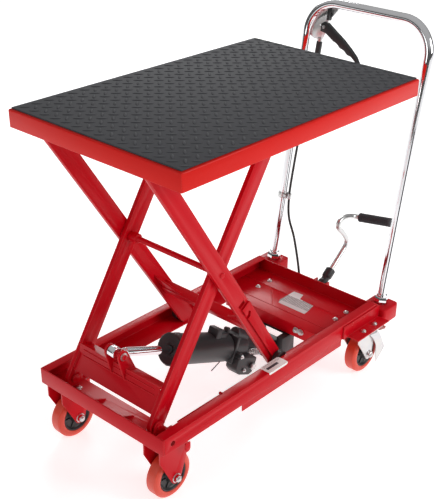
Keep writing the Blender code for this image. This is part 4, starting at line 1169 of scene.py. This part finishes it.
class LIFT_OT_hydraulics(bpy.types.Operator):
    """Ram, reservoir and foot pump"""

    bl_idname = "lift.hydraulics"
    bl_label = "Hydraulic unit"

    def execute(self, context):
        self.ram()
        self.reservoir()
        self.pump()
        self.fittings()
        return {"FINISHED"}

    def ram(self):
        side = Vector((0, 1, 0))
        ring = [(-0.0060, 0.0060), (-0.0060, 0.0112), (-0.0046, 0.0125), (0.0111, 0.0125), (0.0125, 0.0112),
                (0.0125, 0.0060)]
        eye = turned("eye", filleted(ring, 0.0006, 2), RAM_EYE, side, 48, ring=True)
        shaft = [(0.0110, 0.0), (0.0110, 0.0074), (0.0240, 0.0074), (0.0255, 0.0094), (0.2000, 0.0094),
                 (0.2000, 0.0)]
        shaft = turned("shaft", filleted(shaft, 0.0008, 2, False), RAM_EYE, RAM_WAY, 48)
        publish(fused("ram_finished", eye, shaft), "ram", "chrome", replaced=("ram_rod",))
        for hand, inner, outer in (("left", -0.0232, -0.0254), ("right", 0.0192, 0.0214)):
            start, end = RAM_EYE + side * inner, RAM_EYE + side * outer
            publish(nut("clevis_washer_" + hand, start, end, 0.0088, steps=24), "inner_legs", "zinc_plate")

    def reservoir(self):
        profile = [(0.3150, 0.0), (0.3150, 0.0100), (0.1615, 0.0100), (0.1615, 0.0155), (0.1600, 0.0165),
                   (0.1600, 0.0330), (0.1625, 0.0358), (0.1700, 0.0358), (0.1710, 0.0345), (0.1780, 0.0345),
                   (0.1790, 0.0358), (0.1880, 0.0358), (0.1905, 0.0340), (0.3405, 0.0340), (0.3430, 0.0325),
                   (0.3430, 0.0)]
        body = turned("shell", filleted(profile, 0.0008, 2, False), RAM_EYE, RAM_WAY, 72)
        turn = along(RAM_WAY)
        lug = block("lug", (0.0300, -0.0032, 0.1630), (0.0366, 0.0032, 0.1700), 0.0008)
        lug.data.transform(Matrix.Translation(RAM_EYE) @ turn)
        lugs = grown(lug, ring_tree, "black_casting", count=12, centre=RAM_EYE, axis=RAM_WAY)
        publish(fused("reservoir_finished", body, lugs), "cylinder", "black_casting", replaced=("reservoir",))

    def boxed(self, name, low, high, edge=0.0025):
        """A casting block in the ram's own directions: along, up and across."""
        turn = Matrix((RAM_WAY, Vector((0, 1, 0)), RAM_UP)).transposed().to_4x4()
        low = Vector((low[0], low[2], low[1]))
        high = Vector((high[0], high[2], high[1]))
        return block(name, low, high, edge, Matrix.Translation(RAM_EYE) @ turn, 3)

    def pump(self):
        profile = [(0.3436, 0.0), (0.3436, 0.0300), (0.3480, 0.0310), (0.3900, 0.0310), (0.4020, 0.0300),
                   (0.4060, 0.0250), (0.4080, 0.0205), (0.4620, 0.0190), (0.4640, 0.0205), (0.4760, 0.0205),
                   (0.4780, 0.0190), (0.5400, 0.0180), (0.5440, 0.0160), (0.5440, 0.0)]
        outline = filleted(profile, 0.0012, 2, False)
        core = turned("core", outline, RAM_EYE, RAM_WAY, 10, phase=math.radians(18))
        chunk = filleted([(0.352, -0.010), (0.352, -0.040), (0.368, -0.052), (0.408, -0.054), (0.420, -0.044),
                          (0.420, -0.010)], 0.005, 4)
        pieces = [
            core,
            self.boxed("flange", (0.3450, -0.030, -0.034), (0.3540, 0.034, 0.030)),
            self.boxed("bridge", (0.2820, 0.026, -0.020), (0.3000, 0.0500, 0.008)),
            self.boxed("step", (0.2960, 0.026, -0.018), (0.3250, 0.0395, 0.006)),
            self.boxed("saddle", (0.3450, 0.022, -0.016), (0.4080, 0.0360, 0.014)),
            self.boxed("tail", (0.4720, -0.0200, -0.031), (0.5360, 0.0220, 0.031)),
            flat("chunk", chunk, on_ram(0.0, 0.0, -0.030), RAM_WAY, RAM_UP, 0.032, 0.0025, 3),
        ]
        dome = [(0.0, 0.0), (0.0, 0.0135), (0.042, 0.0135), (0.0500, 0.0105), (0.0530, 0.0)]
        start, end = on_ram(0.3640, 0.0360, -0.004), on_ram(0.4160, 0.0240, -0.004)
        pieces.append(turned("dome", filleted(dome, 0.004, 4, False), start, end - start, 40))
        pieces.append(nut("plug_boss", on_ram(0.357, -0.007, -0.026), on_ram(0.357, -0.007, -0.0475), 0.0085))
        publish(fused("pump_finished", *pieces), "cylinder", "black_casting", replaced=("pump_head",))
        start, end = on_ram(0.406, -0.031, -0.0463), on_ram(0.406, -0.031, -0.0550)
        plug = nut("valve_plug_finished", start, end, 0.0090)
        publish(plug, "cylinder", slot_of("valve_plug"), "zinc_plate", ("valve_plug",))

    def fittings(self):
        across = Vector((0, -1, 0))
        silver = (
            ("gland_end", on_ram(0.357, -0.007, -0.0475), 0.0030),
            ("bleed_screw", on_ram(0.380, -0.040, -0.0460), 0.0040),
        )
        for name, place, height in silver:
            piece = nut(name, place, place + across * height, 0.0050)
            tip = bar(name + "_tip", place + across * height, place + across * (height + 0.003), 0.0025, 24)
            publish(fused(name, piece, tip), "cylinder", "zinc_plate")
        radius, length, twist, count = 0.0066, 0.034, 31.4, 80
        spring = []
        for i in range(count + 1):
            angle = i / count * twist
            coil = RAM_UP * radius * math.cos(angle) + Vector((0, radius * math.sin(angle), 0))
            spring.append(on_ram(0.4120 + length * i / count, -0.004, -0.0300) + coil)
        publish(tube("pump_spring", spring, 0.0013, 3), "cylinder", "zinc_plate")
        for name, start, end, radius in (
            ("filler_plug", on_ram(0.3340, 0.0330, -0.004), on_ram(0.3340, 0.0480, -0.004), 0.0075),
            ("air_plug", on_ram(0.2170, 0.0270, -0.0195), on_ram(0.2170, 0.0320, -0.0230), 0.0040),
        ):
            publish(nut(name, start, end, radius), "cylinder", "black_casting")
        pin = bar("lock_pin", (-0.030, -0.020, 0.118), (-0.058, -0.020, 0.107), 0.0011, 12, 0.0002)
        publish(pin, "cylinder", "black_casting")


class LIFT_OT_handle(bpy.types.Operator):
    """Chrome push handle with a collar nut at each foot"""

    bl_idname = "lift.handle"
    bl_label = "Push handle"

    def execute(self, context):
        half, bend, top = HANDLE_HALF, 0.075, HANDLE_LENGTH
        points = [on_handle(-0.022, -half)]
        points += [on_handle(v, u) for u, v in arc((-(half - bend), top - bend), bend, 180, 90, 24)]
        points += [on_handle(v, u) for u, v in arc((half - bend, top - bend), bend, 90, 0, 24)]
        points.append(on_handle(-0.022, half))
        publish(tube("handle_finished", points, 0.011, 14), "base", "chrome", replaced=("push_handle",))
        for side, sign in SIDES:
            foot = on_handle(0.0, sign * half)
            profile = [(0.0006, 0.0112), (0.0006, 0.0148), (0.0020, 0.0170), (0.0120, 0.0170),
                       (0.0148, 0.0150), (0.0148, 0.0112)]
            collar = turned("collar", profile, foot, HANDLE_WAY, 6, ring=True, phase=0.3)
            ring = [(0.0148, 0.0112), (0.0148, 0.0138), (0.0200, 0.0132), (0.0215, 0.0120), (0.0215, 0.0112)]
            lock = turned("lock", filleted(ring, 0.0006, 2), foot, HANDLE_WAY, 40, ring=True)
            nut_body = fused("handle_nut_finished_" + side, collar, lock)
            publish(nut_body, "base", "chrome", replaced=("handle_nut_" + side,))
        return {"FINISHED"}


class LIFT_OT_lever(bpy.types.Operator):
    """Corner bracket, squeeze lever and cable boot on the handle"""

    bl_idname = "lift.lever"
    bl_label = "Release lever"

    def execute(self, context):
        y, height = 0.116, 0.595
        plane = {"place": on_handle(0, 0), "across": (0, 1, 0), "upright": HANDLE_WAY}
        top, side, bend = HANDLE_LENGTH - 0.0113, HANDLE_HALF - 0.0113, 0.0634
        corner = (HANDLE_HALF - 0.075, HANDLE_LENGTH - 0.075)
        outline = [(y - 0.006, top)] + arc(corner, bend, 88, 0, 20)
        outline += [(side, HANDLE_LENGTH - 0.080)]
        outline += arc((side - 0.012, HANDLE_LENGTH - 0.080), 0.006, 290, 250, 3)
        outline += [(y + 0.006, HANDLE_LENGTH - 0.088), (y - 0.006, HANDLE_LENGTH - 0.060)]
        bracket = flat("bracket", outline, thickness=0.0040, edge=0.0007, **plane)
        hole = [on_handle(top - 0.043, 0.130, out) for out in (-0.01, 0.01)]
        bracket = pierced(bracket, *hole, 0.0028)
        rim = [on_handle(v, u) for u, v in arc(corner, bend + 0.0008, 88, 0, 24)]
        pin = bar("pin", on_handle(height, y, -0.0108), on_handle(height, y, 0.0108), 0.0036, 24)
        ends = [on_handle(HANDLE_LENGTH - drop, 0.1275) for drop in (0.082, 0.092)]
        adjuster = bar("adjuster", *ends, 0.0058)
        piece = fused("bracket_finished", bracket, tube("rim", rim, 0.0018, 4), pin, adjuster)
        publish(piece, "base", "zinc_plate", replaced=("lever_bracket",))
        outline = [(y - 0.010, top - 0.001), (y - 0.0005, top - 0.001), (y - 0.002, height + 0.016),
                   (y - 0.009, height + 0.016)]
        publish(flat("lever_stop", outline, thickness=0.012, edge=0.0012, **plane), "base", "black_plastic")
        start, end = on_handle(HANDLE_LENGTH - 0.090, 0.1275), on_handle(HANDLE_LENGTH - 0.122, 0.1279)
        publish(bar("cable_boot", start, end, 0.0072, 32, 0.0015), "base", "black_plastic")
        self.grip(y, height, plane)
        return {"FINISHED"}

    def grip(self, y, height, plane):
        upper = [(y + 0.011, height + 0.006), (y + 0.002, height + 0.0120), (y - 0.006, height + 0.0100),
                 (y - 0.030, height - 0.0045), (y - 0.056, height - 0.0195), (y - 0.080, height - 0.0365),
                 (y - 0.098, height - 0.0510), (y - 0.1075, height - 0.0640), (y - 0.1070, height - 0.0668),
                 (y - 0.1020, height - 0.0672)]
        lower = []
        for i in range(33):
            t = i / 32
            wave = 0.0012 * math.cos(t * math.tau * 4) if t < 0.8 else 0.0012
            sag = 0.0020 * math.sin(t * math.pi) + wave
            lower.append((y - 0.0975 + 0.0915 * t, height - 0.0595 + 0.0470 * t - sag))
        outline = upper + lower + [(y + 0.010, height - 0.011)]
        lever = flat("lever_finished", outline, thickness=0.0130, edge=0.0024, segments=3, **plane)
        boss = [(-0.0069, 0.0), (-0.0069, 0.0085), (0.0069, 0.0085), (0.0069, 0.0)]
        boss = turned("boss", filleted(boss, 0.001, 2, False), on_handle(height, y), HANDLE_OUT, 32)
        publish(fused("lever_finished", lever, boss), "lever", "black_plastic", replaced=("release_lever",))


class LIFT_OT_cable(bpy.types.Operator):
    """Sleeved cable from the lever to the pump, and its clip"""

    bl_idname = "lift.cable"
    bl_label = "Release cable"

    def execute(self, context):
        top = HANDLE_LENGTH
        points = [
            on_handle(top - 0.1003, 0.1275), on_handle(top - 0.130, 0.1280), on_handle(top - 0.200, 0.1350),
            on_handle(top - 0.300, 0.1430), on_handle(0.250, 0.1470), on_handle(0.172, 0.1470),
            on_handle(0.120, 0.1380), (0.387, 0.110, 0.235), (0.376, 0.088, 0.190), (0.365, 0.070, 0.150),
            (0.349, 0.052, 0.126),
            (0.310, 0.036, 0.115), (0.250, 0.024, 0.110), (0.1963, 0.018, 0.108),
        ]
        cable = tube("cable_finished", route(points, 0.006), 0.003, 6)
        publish(cable, "base", "black_plastic", replaced=("release_cable",))
        end = nut("cable_end", (0.1963, 0.018, 0.108), (0.2080, 0.0185, 0.1082), 0.0060)
        publish(end, "base", "zinc_plate")
        y = HANDLE_HALF
        band = [(0.165, 0.0112), (0.165, 0.0132), (0.179, 0.0132), (0.179, 0.0112)]
        foot = on_handle(0.0, y)
        band = turned("band", filleted(band, 0.0004, 2), foot, HANDLE_WAY, 48, ring=True)
        ear = [(0.165, 0.0033), (0.165, 0.0058), (0.179, 0.0058), (0.179, 0.0033)]
        ear = turned("ear", filleted(ear, 0.0004, 2), on_handle(0.0, 0.1470), HANDLE_WAY, 32, ring=True)
        publish(fused("clip_finished", band, ear), "base", "zinc_plate", replaced=("cable_clip",))
        screw = on_handle(0.172, 0.1545, -0.0060)
        fasteners(
            "clip_screw", "base", "zinc_plate", [(screw, -HANDLE_OUT)], head_radius=0.0036, head_height=0.003,
            washer_radius=0.0042, washer_height=0.0006,
        )
        return {"FINISHED"}


class LIFT_OT_pedal(bpy.types.Operator):
    """Foot pedal: black socket, bright bent rod and ribbed grip"""

    bl_idname = "lift.pedal"
    bl_label = "Foot pedal"

    def execute(self, context):
        side = Vector((0, 1, 0))
        barrel = [(-0.0144, 0.0046), (-0.0144, 0.0108), (-0.0132, 0.0120), (0.0132, 0.0120), (0.0144, 0.0108),
                  (0.0144, 0.0046)]
        barrel = turned("barrel", filleted(barrel, 0.0006, 2), PEDAL_PIVOT, side, 48, ring=True)
        arm = [(0.0, 0.0), (0.0, 0.0118), (0.0150, 0.0124), (0.0190, 0.0100), (0.0260, 0.0100),
               (0.0300, 0.0125), (0.0500, 0.0125), (0.0520, 0.0110), (0.0520, 0.0069), (0.0320, 0.0069),
               (0.0320, 0.0)]
        arm = turned("arm", filleted(arm, 0.0008, 2, False), PEDAL_PIVOT, PEDAL_WAY, 40)
        publish(fused("socket_finished", barrel, arm), "pedal", "black_casting", replaced=("pedal_socket",))
        points = [
            PEDAL_PIVOT + PEDAL_WAY * 0.0325, PEDAL_PIVOT + PEDAL_WAY * 0.055, (0.4440, 0.0, 0.2085),
            (0.4588, 0.0, 0.2230), (0.4595, 0.0, 0.2400), (0.4426, 0.0, 0.2620), (0.4225, 0.0, 0.2826),
            (0.4225, 0.0, 0.2975), (0.4378, 0.0, 0.3040), (0.4580, -0.0005, 0.3023),
            (0.4760, -0.0040, 0.2975), (0.4850, -0.0140, 0.2955), (0.4868, -0.0300, 0.2970),
            (0.4890, -0.0550, 0.2995), (0.4920, -0.0820, 0.3035),
        ]
        rod = tube("pedal_rod_finished", route(points, 0.003), 0.0062, 10)
        publish(rod, "pedal", "zinc_plate", replaced=("pedal_rod",))
        start, end = Vector((0.4862, -0.0180, 0.2955)), Vector((0.4946, -0.1040, 0.3060))
        length = (end - start).length
        count = 15
        profile = [(0.0, 0.0066), (0.0, 0.0112), (0.003, 0.0115)]
        for i in range(count):
            at = 0.0055 + (length - 0.014) * i / (count - 1)
            groove = ((-0.0016, 0.0112), (-0.0008, 0.0098), (0.0008, 0.0098), (0.0016, 0.0112))
            profile += [(at + step, radius) for step, radius in groove]
        profile += [(length - 0.003, 0.0115), (length, 0.0100), (length, 0.0)]
        grip = turned("grip_finished", profile, start, end - start, 40)
        publish(grip, "pedal", "black_rubber", replaced=("pedal_grip",))
        spots = [(PEDAL_PIVOT + side * sign * 0.0197, side * sign) for sign in (-1, 1)]
        fasteners(
            "pedal_pin_ends", "base", "zinc_plate", spots, head_radius=0.0056, head_height=0.0028,
            washer_radius=0.0070, washer_height=0.0008,
        )
        return {"FINISHED"}


class LIFT_OT_labels(bpy.types.Operator):
    """Blank-lined paper labels"""

    bl_idname = "lift.labels"
    bl_label = "Labels"

    def execute(self, context):
        mesh = self.folded("rail_label", 0.0016, 0.00025)
        publish(mesh, "base", "red_paint", "label_paper")
        plate = [(0.232, 0.0280), (0.245, 0.0345), (0.300, 0.0345), (0.302, 0.0070), (0.280, 0.0),
                 (0.277, -0.0435), (0.245, -0.0505), (0.232, -0.0510)]
        plate = filleted(plate, 0.0012, 2)
        plate = flat("data_plate", plate, (0, 0, 0.1402), (1, 0, 0), (0, 1, 0), 0.0004, 0.0)
        publish(plate, "base", "red_paint", "data_plate")
        return {"FINISHED"}

    def folded(self, name, radius, thick):
        """A sheet over the left rail's upper edge: v runs inwards over the top, and below 0 down the web."""
        edge_y, edge_z = -0.1823, 0.1743
        rows, columns = 24, 12
        low_v, high_v = -0.0060, 0.0270
        low_x, high_x, corner = -0.055, 0.006, 0.004
        bm = bmesh.new()
        grid = []
        for i in range(rows + 1):
            v = low_v + (high_v - low_v) * i / rows
            inset = max(0.0, corner - min(v - low_v, high_v - v))
            trim = corner - math.sqrt(max(0.0, corner ** 2 - inset ** 2))
            bend = math.pi / 2 * min(1.0, max(0.0, (v + radius) / (2 * radius)))
            y = edge_y + radius - radius * math.cos(bend) + max(0.0, v - radius)
            z = edge_z - radius + radius * math.sin(bend) + min(0.0, v + radius)
            line = []
            for k in range(columns + 1):
                x = low_x + trim + (high_x - low_x - 2 * trim) * k / columns
                line.append(bm.verts.new((x, y, z)))
            grid.append(line)
        for a, b in zip(grid, grid[1:]):
            for k in range(columns):
                bm.faces.new((a[k], a[k + 1], b[k + 1], b[k]))
        bmesh.ops.remove_doubles(bm, verts=bm.verts, dist=1e-7)
        obj = linked(name, bm)
        step = obj.modifiers.new("paper", "SOLIDIFY")
        step.thickness = thick
        step.offset = 0
        return applied(obj)


class LIFT_OT_details(bpy.types.Operator):
    """Ribs, dimples, weld beads and small lugs of the frame"""

    bl_idname = "lift.details"
    bl_label = "Frame details"

    def execute(self, context):
        self.deck()
        self.welds()
        return {"FINISHED"}

    def deck(self):
        low, high = Vector((0.269, 0.078, 0.1400)), Vector((0.212, 0.031, 0.1400))
        rib = tube("deck_rib", [low, low.lerp(high, 0.5), high], 0.0012, 4)
        publish(rib, "base", "red_paint")
        ridge = tube("deck_ridge", [(0.2120, -0.176, 0.1398), (0.2120, 0.176, 0.1398)], 0.0011, 4)
        publish(ridge, "base", "red_paint")
        for side, sign in SIDES:
            out = Vector((0, sign, 0))
            spots = [(Vector((x, sign * 0.1850, z)), out) for x, z in ((0.283, 0.162), (0.239, 0.165))]
            fasteners("bracket_dimples_" + side, "base", "red_paint", spots, sides=20, head_radius=0.0042,
                      head_height=0.0006, crown_height=0.0010, washer_radius=0.0046, washer_height=0.0003)
        tab = filleted([(-0.306, 0.1335), (-0.292, 0.1335), (-0.292, 0.118), (-0.296, 0.112), (-0.302, 0.112),
                        (-0.306, 0.118)], 0.002, 3)
        for side, sign in SIDES:
            lug = flat("stop_lug_" + side, tab, (0, sign * 0.1815, 0), (1, 0, 0), (0, 0, 1), 0.0028, 0.0006)
            publish(lug, "base", "red_paint")

    def welds(self):
        """Beads where the legs' cross pieces and the ears meet their plates."""
        for side, sign in SIDES:
            foot = HINGE + INNER_WAY * 0.036 + Vector((0, sign * 0.1150, 0))
            spots = [foot + INNER_WAY * (0.012 * i) + INNER_UP * 0.0163 for i in range(-1, 3)]
            publish(tube("leg_weld_" + side, spots, 0.0016, 4), "inner_legs", "red_paint")
        for name, distance, lift in (("low", 0.0535, 0.0160), ("high", 0.0655, 0.0212)):
            middle = HINGE + INNER_WAY * distance + INNER_UP * lift
            fold = [middle + Vector((0, reach, 0)) for reach in (-0.104, 0, 0.104)]
            publish(tube("plate_fold_" + name, fold, 0.0015, 4), "inner_legs", "red_paint")


PIECES = (
    LIFT_OT_stage, LIFT_OT_plain, LIFT_OT_steelwork, LIFT_OT_mat, LIFT_OT_wheels, LIFT_OT_rollers,
    LIFT_OT_casters, LIFT_OT_bolts, LIFT_OT_hydraulics, LIFT_OT_handle, LIFT_OT_lever, LIFT_OT_cable,
    LIFT_OT_pedal, LIFT_OT_labels, LIFT_OT_details,
)


class LIFT_PT_panel(bpy.types.Panel):
    """Lists the steps of the finish"""

    bl_label = "Lift Table"
    bl_idname = "LIFT_PT_panel"
    bl_space_type = "VIEW_3D"
    bl_region_type = "UI"
    bl_category = "Lift Table"

    def draw(self, context):
        for piece in PIECES:
            self.layout.operator(piece.bl_idname)


SETTINGS = {
    "lift_colours": LiftColours, "lift_mat": LiftMat, "lift_wheels": LiftWheels, "lift_stage": LiftStage,
}
CLASSES = (*SETTINGS.values(), *PIECES, LIFT_PT_panel)


def register():
    for item in CLASSES:
        bpy.utils.register_class(item)
    for name, group in SETTINGS.items():
        setattr(bpy.types.Scene, name, PointerProperty(type=group))


def unregister():
    for name in SETTINGS:
        delattr(bpy.types.Scene, name)
    for item in reversed(CLASSES):
        bpy.utils.unregister_class(item)


def clear_startup():
    for name in ("Cube", "Light", "Camera"):
        if name in bpy.data.objects:
            bpy.data.objects.remove(bpy.data.objects[name], do_unlink=True)


def main():
    clear_startup()
    register()
    for piece in PIECES:
        group, name = piece.bl_idname.split(".")
        getattr(getattr(bpy.ops, group), name)()


if __name__ == "__main__":
    main()
